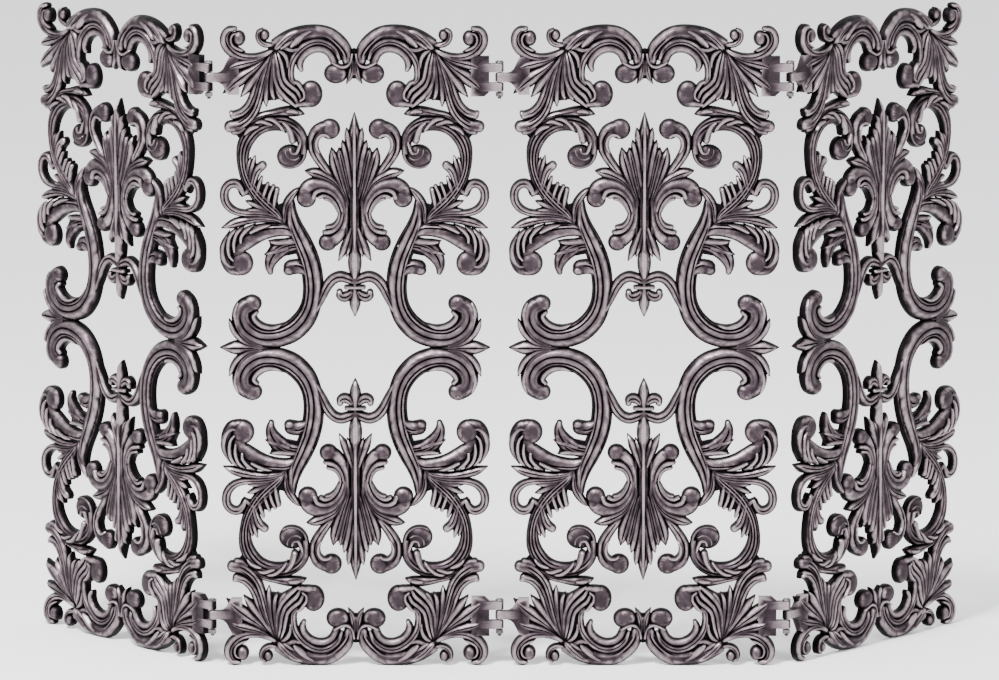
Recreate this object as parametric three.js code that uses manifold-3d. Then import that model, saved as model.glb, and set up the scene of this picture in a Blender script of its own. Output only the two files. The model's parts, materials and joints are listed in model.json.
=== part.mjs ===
// A four-panel folding fireplace screen. Each panel is one openwork casting of scrolls and
// leaves, and neighbouring panels hang on two screw-pinned hinges whose lugs are cast on.
// Millimetres, +Z up, the front faces -Y. The origin is on the floor, at the middle of the
// box that the screen takes up.
import * as THREE from 'three';
import { mergeVertices } from 'three/addons/utils/BufferGeometryUtils.js';
import Module from 'manifold-3d';

const wasm = await Module();
wasm.setup();

// ---- driving dimensions ----
const PANEL_HEIGHT = 792; // foot to crest of one casting
const ORNAMENT_WIDTH = 331; // across the leaf points at mid-height
const PANEL_GAP = 22; // between the leaf points of neighbouring panels that stand in line
const WING_ANGLE = 49; // degrees that each outer panel stands back
const CASTING_THICKNESS = 8.5;
const CORE_RISE = 2.5; // how far the four main scrolls stand proud in front

// ---- hinges ----
const HINGE_INSET = 63; // hinge middle below the panel's crest, and above its foot
const KNUCKLE_RADIUS = 5.1; // lugs are twice this thick and rounded about the pin
const LUG_HEIGHT = 10.2; // of the tongue and of each fork lug
const LUG_GAP = 1.6; // between the tongue and each fork lug
const PIN_CLEARANCE = 0.5; // between a screw and its holes
const LUG_REACH = 14.5; // from the edge of the corner plate to the pin
const LUG_ROOT = 12; // how far a lug reaches into its plate
const CORNER_PLATE_MARGIN = 3.1; // of the flat plate that carries the lugs, above and below them
const CORNER_PLATE_WIDTH = 20;
const CORNER_PLATE_THICKNESS = 6.5;

// ---- hinge screws ----
const SCREW_RADIUS = 2.5;
const HEAD_RADIUS = 5.3;
const HEAD_HEIGHT = 3.8;
const SLOT_WIDTH = 1.4;
const SLOT_DEPTH = 1.9;
const NUT_ACROSS_FLATS = 9;
const NUT_HEIGHT = 5;
const NUT_SLACK = 1.5; // the nut is backed off this far, so that the hinge turns
const THREAD_PAST_NUT = 3;
const SEAT_GAP = 0.3; // under the head, and between thread and nut
const ROUND_SIDES = 16; // facets round a screw, a pin hole or a knuckle

// ---- the drawing that the ornament is taken from: one quarter of a panel ----
const DRAWING_MIDLINE = 2.9;
const DRAWING_TOP = 395.2; // the crest's topmost 1 mm is ground off where it is a foot
const DRAWING_HALF_WIDTH = 163.5;
const FACET_TOLERANCE = 2; // how far a facet may leave the true curve
const CORE_SHARE = 0.55; // of a scroll's width that its raised core takes
const STEPS_PER_SPAN = 6;
const SMALLEST_HOLE = 100; // mm2; the casting's smaller gaps are filled
const DISC_SIDES = 14;

// Ribbons: points [out from the centre-line, up, half the width] that a scroll or stem runs
// through. `core: true` marks the big scrolls that stand proud.
const RIBBONS = [
  { name: 'crest arch', points: [[100, 372, 5], [90, 374.5, 9], [80, 377.5, 11.5],
    [68, 382, 12.5], [55, 384.8, 11.8], [42, 384, 11.3], [30, 379.5, 11.3], [19, 370.5, 11.5],
    [11.5, 359, 11.8], [9.5, 346, 11.5], [12, 337, 9]] },
  { name: 'crest cove', points: [[62.5, 341, 3], [66, 349, 5.5], [63, 359, 6.5], [54, 366, 6.5],
    [43, 368.5, 6.5], [33, 365, 6.5], [26, 357, 6], [23.5, 348, 5.5]] },
  { name: 'crest drop leaf', points: [[5, 345, 7], [6.5, 334, 6.5], [9.5, 321.5, 0.6]] },
  { name: 'corner scroll', points: [[96, 367, 4], [108, 360.5, 4.6], [118, 356.8, 4.6],
    [130, 355.3, 4.8], [140, 357.5, 6], [149, 363.5, 7.3]] },
  { name: 'bud stem', points: [[98, 374, 5], [106, 373.8, 4], [113, 378, 4.3]] },
  { name: 'corner bulb stem', points: [[92, 352, 8], [85, 338, 9], [80, 324, 10], [71, 312, 10],
    [62, 306, 8]] },
  { name: 'fan tail', points: [[96, 316, 8], [85, 309, 7.5], [75, 300, 6], [66, 294, 5]] },
  { name: 'stem', points: [[118, 322, 9], [120.5, 308, 8.3], [124, 296, 8.3], [130, 284, 7.6],
    [139, 275, 7.3], [148, 271, 7.5]] },
  { name: 'stem upper lobe', points: [[124, 298, 6], [132, 289, 6], [141, 284.5, 5.6], [148, 285, 5]] },
  { name: 'tie leaf', points: [[122, 280, 4], [108, 285.5, 4.6], [96, 288, 5.4], [84, 290, 6.4],
    [73, 288.5, 6.6], [60, 286.7, 0.6]] },
  { name: 'side scroll', points: [[66, 243, 8.5], [68.5, 254, 11.3], [75, 265, 11],
    [85, 272.5, 10.5], [97, 277, 11], [109, 275, 11.5], [120.5, 267, 11], [129, 256.5, 10.3],
    [134.5, 244, 9], [136.6, 231, 7.9], [134.6, 219, 7.8], [130, 207, 7.6], [123.5, 195.5, 7.5],
    [114.5, 183.5, 8], [103, 172, 8.5], [91, 162, 9]] },
  { name: 'ear', points: [[135, 203.5, 6], [145, 202.5, 6.4], [152, 199.5, 6], [157, 193.5, 5.7],
    [158.8, 187, 5.7], [157, 179, 5.4], [152, 172, 5], [144, 167, 4.4], [134, 165.8, 4.6],
    [120, 166, 4.8], [104, 163, 5.5]] },
  { name: 'side spur', points: [[98, 156, 7], [116, 157, 6.5], [132, 154.5, 6.5], [147, 152.5, 6.5],
    [161, 148.3, 0.6]] },
  { name: 'shoulder scroll', points: [[70, 141, 8], [82, 145, 8], [96, 146, 9.5],
    [110, 144, 11], [124, 139, 12.5], [136, 131.5, 13.5], [146, 121.5, 13.5], [151.5, 110, 13.5]] },
  { name: 'main scroll', core: true, points: [[77, 190, 2.6], [77.5, 181, 4.6], [78.5, 168, 7],
    [75, 152, 9.6], [66.5, 134, 12], [57.5, 113, 13], [52.3, 93, 13.7], [51.2, 73, 12.4],
    [53.5, 54, 13], [61.5, 37, 13.8], [77, 23, 14], [98, 15.2, 14.2], [117, 17.2, 14.2],
    [130, 26.5, 13.2], [136, 40, 12.9], [133, 51, 13]] },
  { name: 'outer rim leaf', points: [[112, 5, 3], [130, 7, 4.5], [142, 15, 6], [149, 26, 4.4],
    [154, 37, 0.7]] },
  { name: 'inner leaf', points: [[62, 128, 8], [78, 125.5, 9], [92, 121, 9.5], [101, 113, 8.5],
    [104.3, 103, 6.5], [103, 94.5, 4.8]] },
  { name: 'inner leaf upper point', points: [[84, 127, 6], [95, 128.5, 5], [104.8, 131.5, 1.2]] },
  { name: 'inner leaf side point', points: [[92, 120, 6], [101, 118.5, 5], [110.5, 116, 1.4]] },
  { name: 'inner curl', points: [[60, 103, 8], [70, 99.5, 9], [79, 98, 8.6]] },
  { name: 'bow', points: [[44, 40, 3.5], [40, 55, 5], [36, 67, 6], [30.5, 78, 6.8], [23, 86.5, 7],
    [14, 88.8, 6.6], [6, 85, 6], [0, 80, 6]] },
  { name: 'little fleur lobe', points: [[3, 67, 5], [9, 61.5, 5.4], [15.5, 61.3, 5], [20, 66, 3.2]] },
  { name: 'snail curl', points: [[32, 212, 5], [40, 223.5, 6], [46.5, 235, 6.2], [50.2, 247, 6.3],
    [49, 259, 7.3], [42.5, 268.5, 9]] },
  { name: 'hook leaf', points: [[124, 205, 5], [121, 215, 5.2], [117.5, 223.5, 5.6], [110.5, 224.5, 4.8]] },
];

// Discs: the bulbs that end the scrolls, as [out, up, half-width, half-height].
const DISCS = [
  { name: 'crest bulb', at: [22, 337, 14, 12.7] },
  { name: 'corner volute', at: [147.5, 377, 14.7, 14.3] },
  { name: 'bud', at: [111, 383.3, 8, 8] },
  { name: 'corner bulb', at: [52, 312.5, 14.3, 16.3] },
  { name: 'stem bulb', at: [152.5, 270, 7.6, 8] },
  { name: 'side bulb', at: [79.5, 235.5, 15.6, 15.5] },
  { name: 'snail bulb', at: [30, 267.5, 13.6, 13.3] },
  { name: 'shoulder bulb', at: [139, 105, 15.5, 16.5] },
  { name: 'shoulder rim', at: [148, 110, 17.3, 19] },
  { name: 'main bulb', at: [125.5, 53.5, 13.6, 13.5] },
  { name: 'main volute core', at: [124, 37, 9.5, 11] },
];

// Leaves: closed outlines of points [out, up].
const LEAVES = [
  { name: 'corner fan', outline: [[92, 372], [104, 364], [122, 352], [148, 352], [158, 340],
    [150, 329], [159.3, 311], [139, 316.5], [138, 306.3], [126, 311.5], [122, 299], [107, 293.5],
    [102, 303], [92, 306.5], [82, 303], [76, 330], [79, 352], [84, 366]] },
  { name: 'ribbed leaf', outline: [[128, 205], [116, 205.5], [112.5, 212], [105, 200.5],
    [91.5, 199.2], [93.5, 184], [89, 175.5], [81.5, 170], [96, 164], [112, 176]] },
  { name: 'bud leaf', outline: [[131, 222], [131, 237], [127.5, 236.5], [126, 233.8], [123, 236],
    [120.3, 233], [121, 229], [117, 224], [122, 214]] },
  { name: 'ear barb', outline: [[141, 200], [139, 186], [126.5, 188], [128, 200]] },
  { name: 'ear point', outline: [[132.5, 179.5], [112, 178], [106, 168], [130, 168]] },
  { name: 'mid point', outline: [[110, 2], [139, 8], [163.5, 2.9], [150, 0], [110, 0]] },
  { name: 'link', outline: [[92, 176], [83, 185.5], [76, 192], [68, 196], [64, 188], [72, 184],
    [74, 172], [84, 160]] },
  { name: 'fleur', outline: [[-2, 80], [0, 79], [5, 90], [9.5, 113], [19.5, 107.5], [20.5, 120.5],
    [33, 119], [41, 124], [44.5, 134], [37.5, 143], [35.5, 149], [25, 154], [19.2, 165],
    [20.2, 175], [27, 183.2], [36, 184], [46, 178], [57, 171.8], [65, 178], [70, 189], [70, 196],
    [53, 212], [58.7, 218], [48, 222], [28, 222], [26, 243.8], [17, 241], [9, 262], [4.4, 278],
    [0, 288.6], [-2, 287]] },
  { name: 'scroll to curl bridge', outline: [[52, 236], [62, 236], [62, 262], [52, 262]] },
  { name: 'inner leaf root', outline: [[62, 118], [98, 122], [104, 136], [96, 142], [66, 140]] },
  { name: 'stem crotch', outline: [[116, 290], [120, 270], [136, 252], [143, 262]] },
  { name: 'little fleur', outline: [[-1, 40], [0, 39.2], [7.8, 56], [7, 66], [10.5, 71.5],
    [10.5, 82], [-1, 84]] },
];

// ---- from drawing to panel: x is out, z is up, and the hinge axes lie in the plane y = 0 ----
const hingePitch = ORNAMENT_WIDTH + PANEL_GAP; // from one hinge axis to the next
const castingBack = CASTING_THICKNESS / 2;
const castingFront = -CASTING_THICKNESS / 2;
const plateBack = castingBack - 0.3; // the corner plates sit a little inside the casting
const acrossScale = ORNAMENT_WIDTH / 2 / DRAWING_HALF_WIDTH;
const upScale = PANEL_HEIGHT / 2 / (DRAWING_TOP - DRAWING_MIDLINE);
const onPanel = (out, up) =>
  new THREE.Vector2(out * acrossScale, (up - DRAWING_MIDLINE) * upScale);

// Drops the points of a closed outline that lie within the tolerance of their neighbours' line.
function simplified(points, tolerance) {
  const kept = (from, to) => {
    let farthest = -1;
    let worst = tolerance;
    const chord = points[to].clone().sub(points[from]);
    for (let i = from + 1; i < to; i++) {
      const offset = points[i].clone().sub(points[from]);
      const along = THREE.MathUtils.clamp(offset.dot(chord) / chord.lengthSq(), 0, 1);
      const distance = offset.addScaledVector(chord, -along).length();
      if (distance > worst) {
        worst = distance;
        farthest = i;
      }
    }
    return farthest < 0 ? [from] : [...kept(from, farthest), ...kept(farthest, to)];
  };
  const half = Math.floor(points.length / 2);
  return [...kept(0, half), ...kept(half, points.length - 1), points.length - 1]
    .map((i) => points[i]);
}

// The closed outline of a ribbon, with its half-width times `share`. The ribbon is drawn before
// it is scaled to the panel, so its width keeps up with the panel's size.
function ribbonOutline(points, share) {
  const line = new THREE.CatmullRomCurve3(
    points.map(([out, up]) => new THREE.Vector3(out, up, 0)), false, 'centripetal');
  const widths = new THREE.CatmullRomCurve3(
    points.map(([, , half], i) => new THREE.Vector3(i, half * share, 0)), false, 'catmullrom', 0.5);
  const spans = (points.length - 1) * STEPS_PER_SPAN;
  const left = [];
  const right = [];
  for (let i = 0; i <= spans; i++) {
    const at = line.getPoint(i / spans);
    const along = line.getTangent(i / spans);
    const half = Math.max(widths.getPoint(i / spans).y, 0.3);
    left.push(onPanel(at.x - along.y * half, at.y + along.x * half));
    right.push(onPanel(at.x + along.y * half, at.y - along.x * half));
  }
  return [...left, ...right.reverse()];
}

function discOutline([out, up, halfWidth, halfHeight]) {
  return Array.from({ length: DISC_SIDES }, (_, i) => {
    const a = (2 * Math.PI * i) / DISC_SIDES;
    return onPanel(out + halfWidth * Math.cos(a), up + halfHeight * Math.sin(a));
  });
}

// ---- solids ----
// A closed geometry as a solid that can be joined and cut.
function solidOf(geometry) {
  const bare = geometry.index ? geometry.toNonIndexed() : geometry.clone();
  bare.deleteAttribute('normal');
  bare.deleteAttribute('uv');
  const merged = mergeVertices(bare, 1e-4);
  return new wasm.Manifold(new wasm.Mesh({
    numProp: 3,
    vertProperties: new Float32Array(merged.attributes.position.array),
    triVerts: new Uint32Array(merged.index.array),
  }));
}

function geometryOf(solid) {
  const mesh = solid.getMesh();
  const geometry = new THREE.BufferGeometry();
  geometry.setAttribute('position', new THREE.BufferAttribute(mesh.vertProperties, 3));
  geometry.setIndex(new THREE.BufferAttribute(mesh.triVerts, 1));
  const faceted = geometry.toNonIndexed();
  faceted.computeVertexNormals();
  return faceted;
}

const joined = (solids) => solids.reduce((sum, next) => sum.add(next));

// A flat outline in the panel's plane, filled from y = `back` forwards to y = `front`.
function cast(outline, back, front) {
  const geometry = new THREE.ExtrudeGeometry(new THREE.Shape(outline), {
    depth: back - front, bevelEnabled: false, steps: 1,
  });
  return geometry.rotateX(Math.PI / 2).translate(0, back, 0);
}

// The outlines of a plate's flat back, each a closed loop of points.
function outlinesOf(plate) {
  const { vertProperties: p, triVerts: t } = plate.getMesh();
  const onBack = (i) => Math.abs(p[3 * i + 1] - castingBack) < 1e-3;
  const edges = new Map();
  for (let i = 0; i < t.length; i += 3)
    if (onBack(t[i]) && onBack(t[i + 1]) && onBack(t[i + 2]))
      for (let k = 0; k < 3; k++)
        edges.set(`${t[i + k]} ${t[i + ((k + 1) % 3)]}`, [t[i + k], t[i + ((k + 1) % 3)]]);
  const next = new Map();
  for (const [from, to] of edges.values())
    if (!edges.has(`${to} ${from}`))
      next.set(from, to);
  const loops = [];
  while (next.size) {
    const loop = [];
    let at = next.keys().next().value;
    while (next.has(at)) {
      loop.push(new THREE.Vector2(p[3 * at], p[3 * at + 2]));
      const onwards = next.get(at);
      next.delete(at);
      at = onwards;
    }
    loops.push(loop);
  }
  return loops;
}

// A plate again, with only the outline points that its facets need.
function refaceted(whole) {
  const loops = outlinesOf(whole).map((loop) => simplified(loop, FACET_TOLERANCE));
  loops.sort((a, b) => Math.abs(THREE.ShapeUtils.area(b)) - Math.abs(THREE.ShapeUtils.area(a)));
  const holes = loops.slice(1)
    .filter((hole) => hole.length > 2 && Math.abs(THREE.ShapeUtils.area(hole)) > SMALLEST_HOLE);
  return holes.reduce(
    (plate, hole) => plate.subtract(solidOf(cast(hole.reverse(), castingBack + 1, castingFront - 1))),
    solidOf(cast(loops[0], castingBack, castingFront)));
}

// The same geometry reflected left to right, top to bottom or both.
function reflected(geometry, sideways, upways) {
  const copy = geometry.index ? geometry.toNonIndexed() : geometry.clone();
  copy.scale(sideways, 1, upways);
  if (sideways * upways < 0) {
    const p = copy.attributes.position.array;
    for (let i = 0; i < p.length; i += 9)
      for (let k = 0; k < 3; k++)
        [p[i + 3 + k], p[i + 6 + k]] = [p[i + 6 + k], p[i + 3 + k]];
  }
  return copy;
}

const box = (x0, x1, y0, y1, z0, z1) =>
  new THREE.BoxGeometry(x1 - x0, y1 - y0, z1 - z0)
    .translate((x0 + x1) / 2, (y0 + y1) / 2, (z0 + z1) / 2);

// ---- the openwork of a panel, from its quarter ----
function mirrored(quarter) {
  const bare = geometryOf(quarter);
  const quarters = [];
  for (const sideways of [1, -1])
    for (const upways of [1, -1])
      quarters.push(solidOf(reflected(bare, sideways, upways)));
  return joined(quarters);
}

function openwork() {
  const reach = 2 * Math.ceil(hingePitch + PANEL_HEIGHT); // even, so that the cuts at 0 are exact
  const upperOuterQuarter = solidOf(box(0, reach, -reach, reach, 0, reach));
  const flat = joined([
    ...RIBBONS.map((r) => ribbonOutline(r.points, 1)),
    ...DISCS.map((d) => discOutline(d.at)),
    ...LEAVES.map((l) => l.outline.map(([out, up]) => onPanel(out, up))),
  ].map((outline) => solidOf(cast(outline, castingBack, castingFront))));
  const cores = joined(RIBBONS.filter((r) => r.core)
    .map((r) => simplified(ribbonOutline(r.points, CORE_SHARE), FACET_TOLERANCE))
    .map((outline) => solidOf(cast(outline, 0, castingFront - CORE_RISE))));
  const belowFeet = solidOf(box(-reach, reach, -reach, reach, -reach, -PANEL_HEIGHT / 2));
  return mirrored(refaceted(flat.intersect(upperOuterQuarter)).add(cores)).subtract(belowFeet);
}

// ---- hinge lugs ----
const pinAt = hingePitch / 2; // from the panel's centre-line
const plateEdge = pinAt - LUG_REACH;
const slotHalf = LUG_HEIGHT / 2 + LUG_GAP;
const forkHalf = slotHalf + LUG_HEIGHT;
const cornerPlateHalf = forkHalf + CORNER_PLATE_MARGIN;
const pinHoleRadius = SCREW_RADIUS + PIN_CLEARANCE;
const hingeHeight = PANEL_HEIGHT / 2 - HINGE_INSET; // above and below the panel's mid-line

// A bar from the plate to the pin, with a round end about the pin. side is +1 or -1.
function lug(side, low, high) {
  const bar = box(plateEdge - LUG_ROOT, pinAt, -KNUCKLE_RADIUS, KNUCKLE_RADIUS, low, high);
  const knuckle = new THREE.CylinderGeometry(KNUCKLE_RADIUS, KNUCKLE_RADIUS, high - low, ROUND_SIDES)
    .rotateX(Math.PI / 2).translate(pinAt, 0, (low + high) / 2);
  const hole = new THREE.CylinderGeometry(pinHoleRadius, pinHoleRadius, high - low + 2, ROUND_SIDES)
    .rotateX(Math.PI / 2).translate(pinAt, 0, (low + high) / 2);
  const made = solidOf(bar).add(solidOf(knuckle)).subtract(solidOf(hole));
  return side > 0 ? made : solidOf(reflected(geometryOf(made), -1, 1));
}

// The flat plate behind the corner leaves that the lugs grow from.
function cornerPlate(side, middle) {
  const x = side * plateEdge;
  const inner = side * (plateEdge - CORNER_PLATE_WIDTH);
  return solidOf(box(Math.min(x, inner), Math.max(x, inner), plateBack - CORNER_PLATE_THICKNESS,
    plateBack, middle - cornerPlateHalf, middle + cornerPlateHalf));
}

const hingeHeights = { upper: hingeHeight, lower: -hingeHeight };

function panelGeometry(plain, { tongueLeft, forkRight }) {
  let casting = plain;
  for (const middle of Object.values(hingeHeights)) {
    if (tongueLeft)
      casting = casting.add(cornerPlate(-1, middle))
        .add(lug(-1, middle - LUG_HEIGHT / 2, middle + LUG_HEIGHT / 2));
    if (forkRight)
      casting = casting.add(cornerPlate(1, middle))
        .add(lug(1, middle + slotHalf, middle + forkHalf))
        .add(lug(1, middle - forkHalf, middle - slotHalf));
  }
  return geometryOf(casting);
}

// ---- hinge hardware ----
function screwGeometry() {
  const seat = forkHalf + SEAT_GAP;
  const end = -(forkHalf + NUT_SLACK + NUT_HEIGHT + THREAD_PAST_NUT);
  const profile = [[0, end], [SCREW_RADIUS - 0.5, end], [SCREW_RADIUS, end + 0.8],
    [SCREW_RADIUS, seat], [HEAD_RADIUS - 0.3, seat], [HEAD_RADIUS, seat + 0.8],
    [HEAD_RADIUS * 0.86, seat + HEAD_HEIGHT * 0.62], [HEAD_RADIUS * 0.5, seat + HEAD_HEIGHT * 0.93],
    [0, seat + HEAD_HEIGHT]].map(([r, z]) => new THREE.Vector2(r, z));
  const turned = new THREE.LatheGeometry(profile, ROUND_SIDES).rotateX(Math.PI / 2);
  const slot = box(-SLOT_WIDTH / 2, SLOT_WIDTH / 2, -2 * HEAD_RADIUS, 2 * HEAD_RADIUS,
    seat + HEAD_HEIGHT - SLOT_DEPTH, seat + HEAD_HEIGHT + 1);
  return geometryOf(solidOf(turned).subtract(solidOf(slot)));
}

function nutGeometry() {
  const top = -(forkHalf + NUT_SLACK);
  const hexagon = new THREE.CylinderGeometry(NUT_ACROSS_FLATS / Math.sqrt(3),
    NUT_ACROSS_FLATS / Math.sqrt(3), NUT_HEIGHT, 6).rotateX(Math.PI / 2);
  const bore = new THREE.CylinderGeometry(SCREW_RADIUS + SEAT_GAP, SCREW_RADIUS + SEAT_GAP,
    NUT_HEIGHT + 2, ROUND_SIDES).rotateX(Math.PI / 2);
  return geometryOf(solidOf(hexagon).subtract(solidOf(bore))).translate(0, 0, top - NUT_HEIGHT / 2);
}

// ---- finishes ----
const bronzedIron = new THREE.MeshStandardMaterial({ color: 0x5c5052, roughness: 0.5, metalness: 0.7 });
const darkSteel = new THREE.MeshStandardMaterial({ color: 0x2b2a2c, roughness: 0.4, metalness: 0.9 });

function mesh(name, geometry, material) {
  const made = new THREE.Mesh(geometry, material);
  made.name = name;
  return made;
}

// ---- assembly ----
const plain = openwork();
const screen = new THREE.Group();

// A panel stands in a group whose origin is on one hinge axis, so that it can swing there.
function panel(name, lugs, axisX, turnDegrees, offset) {
  const swing = new THREE.Group();
  swing.position.set(axisX, 0, 0);
  swing.rotation.z = THREE.MathUtils.degToRad(turnDegrees);
  const casting = mesh(name, panelGeometry(plain, lugs), bronzedIron);
  casting.position.x = offset;
  swing.add(casting);
  screen.add(swing);
}

panel('left_wing_casting', { forkRight: true }, -hingePitch, -WING_ANGLE, -pinAt);
panel('centre_left_casting', { tongueLeft: true, forkRight: true }, 0, 0, -pinAt);
panel('centre_right_casting', { tongueLeft: true, forkRight: true }, 0, 0, pinAt);
panel('right_wing_casting', { tongueLeft: true }, hingePitch, WING_ANGLE, pinAt);

const hingeAxes = { left: -hingePitch, middle: 0, right: hingePitch };
for (const [side, x] of Object.entries(hingeAxes))
  for (const [level, z] of Object.entries(hingeHeights))
    for (const [piece, geometry] of [['screw', screwGeometry()], ['nut', nutGeometry()]]) {
      const placed = mesh(`${side}_${level}_hinge_${piece}`, geometry, darkSteel);
      placed.position.set(x, 0, z);
      screen.add(placed);
    }

// Stands the screen on the floor, with its box centred on the origin.
const stand = new THREE.Group();
stand.add(screen);
const extent = new THREE.Box3().setFromObject(screen, true);
const middle = extent.getCenter(new THREE.Vector3());
screen.position.set(-middle.x, -middle.y, -extent.min.z);

export default stand;
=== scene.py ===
# A four-panel folding fireplace screen: openwork castings of scrolls and acanthus leaves, in an
# antique pewter-bronze finish, hung on each other by slotted screws through cast-on lugs.
# Metres, +Z up, the front faces -Y. A panel is drawn in millimetres before it is placed.
import json
import math
import bpy
import bmesh
import numpy as np
from mathutils import Matrix, Vector

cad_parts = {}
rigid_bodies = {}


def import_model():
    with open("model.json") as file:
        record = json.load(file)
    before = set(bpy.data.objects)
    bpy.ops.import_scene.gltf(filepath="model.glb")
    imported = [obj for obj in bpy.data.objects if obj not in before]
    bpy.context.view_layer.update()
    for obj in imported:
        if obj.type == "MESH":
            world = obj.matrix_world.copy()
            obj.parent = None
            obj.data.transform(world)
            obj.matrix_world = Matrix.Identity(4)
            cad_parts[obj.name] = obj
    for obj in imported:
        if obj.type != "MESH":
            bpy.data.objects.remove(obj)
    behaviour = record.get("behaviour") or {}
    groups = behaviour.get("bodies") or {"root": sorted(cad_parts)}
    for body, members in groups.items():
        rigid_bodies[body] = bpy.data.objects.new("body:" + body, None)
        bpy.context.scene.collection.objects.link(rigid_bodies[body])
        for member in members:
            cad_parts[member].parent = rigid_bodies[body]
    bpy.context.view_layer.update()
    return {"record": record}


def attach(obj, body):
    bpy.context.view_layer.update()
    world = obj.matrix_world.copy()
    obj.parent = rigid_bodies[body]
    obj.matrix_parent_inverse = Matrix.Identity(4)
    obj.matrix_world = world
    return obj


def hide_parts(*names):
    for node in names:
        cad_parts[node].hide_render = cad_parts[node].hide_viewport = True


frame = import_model()

MM = 0.001

# ---- sizes of the screen ----
joint_at = {j["name"]: Vector(j["pos_m"]) for j in frame["record"]["behaviour"]["joints"]}
HINGE_LINE = joint_at["middle_hinge"]  # the middle hinge's axis, at the panels' mid-height
HINGE_PITCH = (joint_at["right_hinge"] - joint_at["middle_hinge"]).length
WING_ANGLE = math.radians(49)
ORNAMENT_WIDTH = 331
PANEL_HEIGHT = 792
BACK = 4.25  # of a casting, behind its hinge axes
RELIEF_SHARE = 0.78  # of the drawn heights that the castings have
HINGE_INSET = 63  # hinge middle below the panel's crest, and above its foot
HINGE_HEIGHT = PANEL_HEIGHT / 2 - HINGE_INSET  # above and below the mid-line
LUG_HEIGHT = 10.2
LUG_GAP = 1.6
KNUCKLE_RADIUS = 5.1
LUG_REACH = 14.5
PLATE_THICKNESS = 8.8
SCREW_RADIUS = 2.5
PIN_CLEARANCE = 0.5  # between a screw and its holes
PIN_HOLE_RADIUS = SCREW_RADIUS + PIN_CLEARANCE
HEAD_RADIUS = 5.3
HEAD_HEIGHT = 3.8
SLOT_WIDTH = 1.4
SLOT_DEPTH = 1.9
NUT_ACROSS_FLATS = 9.0
NUT_HEIGHT = 5.0
NUT_SLACK = 1.5
THREAD_PAST_NUT = 3.0
THREAD_PITCH = 0.8
SEAT_GAP = 0.3
PLATE_INSET = 0.3  # of the corner plates, inside the back
LUG_ROOT = 12  # how far a lug reaches into its plate

# ---- the drawing of a quarter panel: out from the centre-line, up from the mid-line ----
DRAWING_MIDLINE = 2.9
ACROSS = ORNAMENT_WIDTH / 2 / 163.5
UP = PANEL_HEIGHT / 2 / 392.3
RING_STEP = 5.0  # between cross-sections along a straight stretch of scroll
RING_BEND = 0.36  # turn between them where it bends, in radians
CURVE_FINENESS = 24  # points between two of a curve's own points, before the cross-sections are set
GROOVE_HALF = 1.15  # half the width of a chased groove
GROOVE_DEPTH = 3.2
BAND_SWELL = 1.2  # how far the band between two grooves swells


def on_panel(out, up):
    return Vector((out * ACROSS, (up - DRAWING_MIDLINE) * UP))


# ---- mesh helpers ----
def mesh_object(name, verts, faces, smooth=True):
    mesh = bpy.data.meshes.new(name)
    mesh.from_pydata([tuple(v) for v in verts], [], faces)
    bm = bmesh.new()
    bm.from_mesh(mesh)
    bmesh.ops.remove_doubles(bm, verts=bm.verts, dist=1e-5)
    bmesh.ops.recalc_face_normals(bm, faces=bm.faces)
    bm.to_mesh(mesh)
    bm.free()
    for polygon in mesh.polygons:
        polygon.use_smooth = smooth
    made = bpy.data.objects.new(name, mesh)
    bpy.context.scene.collection.objects.link(made)
    return made


def curve_through(points):
    """Points along a centripetal Catmull-Rom curve, closer together where it bends; each keeps
    all its numbers."""
    p = [np.array(q, float) for q in points]
    p = [2 * p[0] - p[1]] + p + [2 * p[-1] - p[-2]]
    fine = []
    for a, b, c, d in zip(p, p[1:], p[2:], p[3:]):
        t0 = 0.0
        t1 = t0 + max(np.linalg.norm((b - a)[:2]), 1e-6) ** 0.5
        t2 = t1 + max(np.linalg.norm((c - b)[:2]), 1e-6) ** 0.5
        t3 = t2 + max(np.linalg.norm((d - c)[:2]), 1e-6) ** 0.5
        for t in np.linspace(t1, t2, CURVE_FINENESS, endpoint=False):
            ab = (t1 - t) / (t1 - t0) * a + (t - t0) / (t1 - t0) * b
            bc = (t2 - t) / (t2 - t1) * b + (t - t1) / (t2 - t1) * c
            cd = (t3 - t) / (t3 - t2) * c + (t - t2) / (t3 - t2) * d
            abc = (t2 - t) / (t2 - t0) * ab + (t - t0) / (t2 - t0) * bc
            bcd = (t3 - t) / (t3 - t1) * bc + (t - t1) / (t3 - t1) * cd
            fine.append((t2 - t) / (t2 - t1) * abc + (t - t1) / (t2 - t1) * bcd)
    fine.append(p[-2])
    fine = np.array(fine)
    move = np.diff(fine[:, :2], axis=0)
    length = np.linalg.norm(move, axis=1)
    heading = np.unwrap(np.arctan2(move[:, 1], move[:, 0]))
    bend = np.concatenate([[0], np.abs(np.diff(heading))])
    walked = np.concatenate([[0], np.cumsum(length / RING_STEP + np.minimum(bend, 0.2) / RING_BEND)])
    count = max(4, int(math.ceil(walked[-1])))
    at = np.linspace(0, walked[-1], count + 1)
    return np.stack([np.interp(at, walked, fine[:, k]) for k in range(fine.shape[1])], axis=1)


def between(low, high, x):
    """0 below low, 1 above high, and a smooth rise between."""
    t = min(max((x - low) / (high - low), 0.0), 1.0)
    return t * t * (3 - 2 * t)


ALONE = (0.0, 0.06, 0.16, 0.34, 0.66, 0.84, 0.94, 1.0)
FIRST = (0.0, 0.10, 0.28, 0.60, 1.0)
INNER = (0.0, 0.3, 0.7, 1.0)
LAST = (0.0, 0.40, 0.72, 0.90, 1.0)


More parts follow.
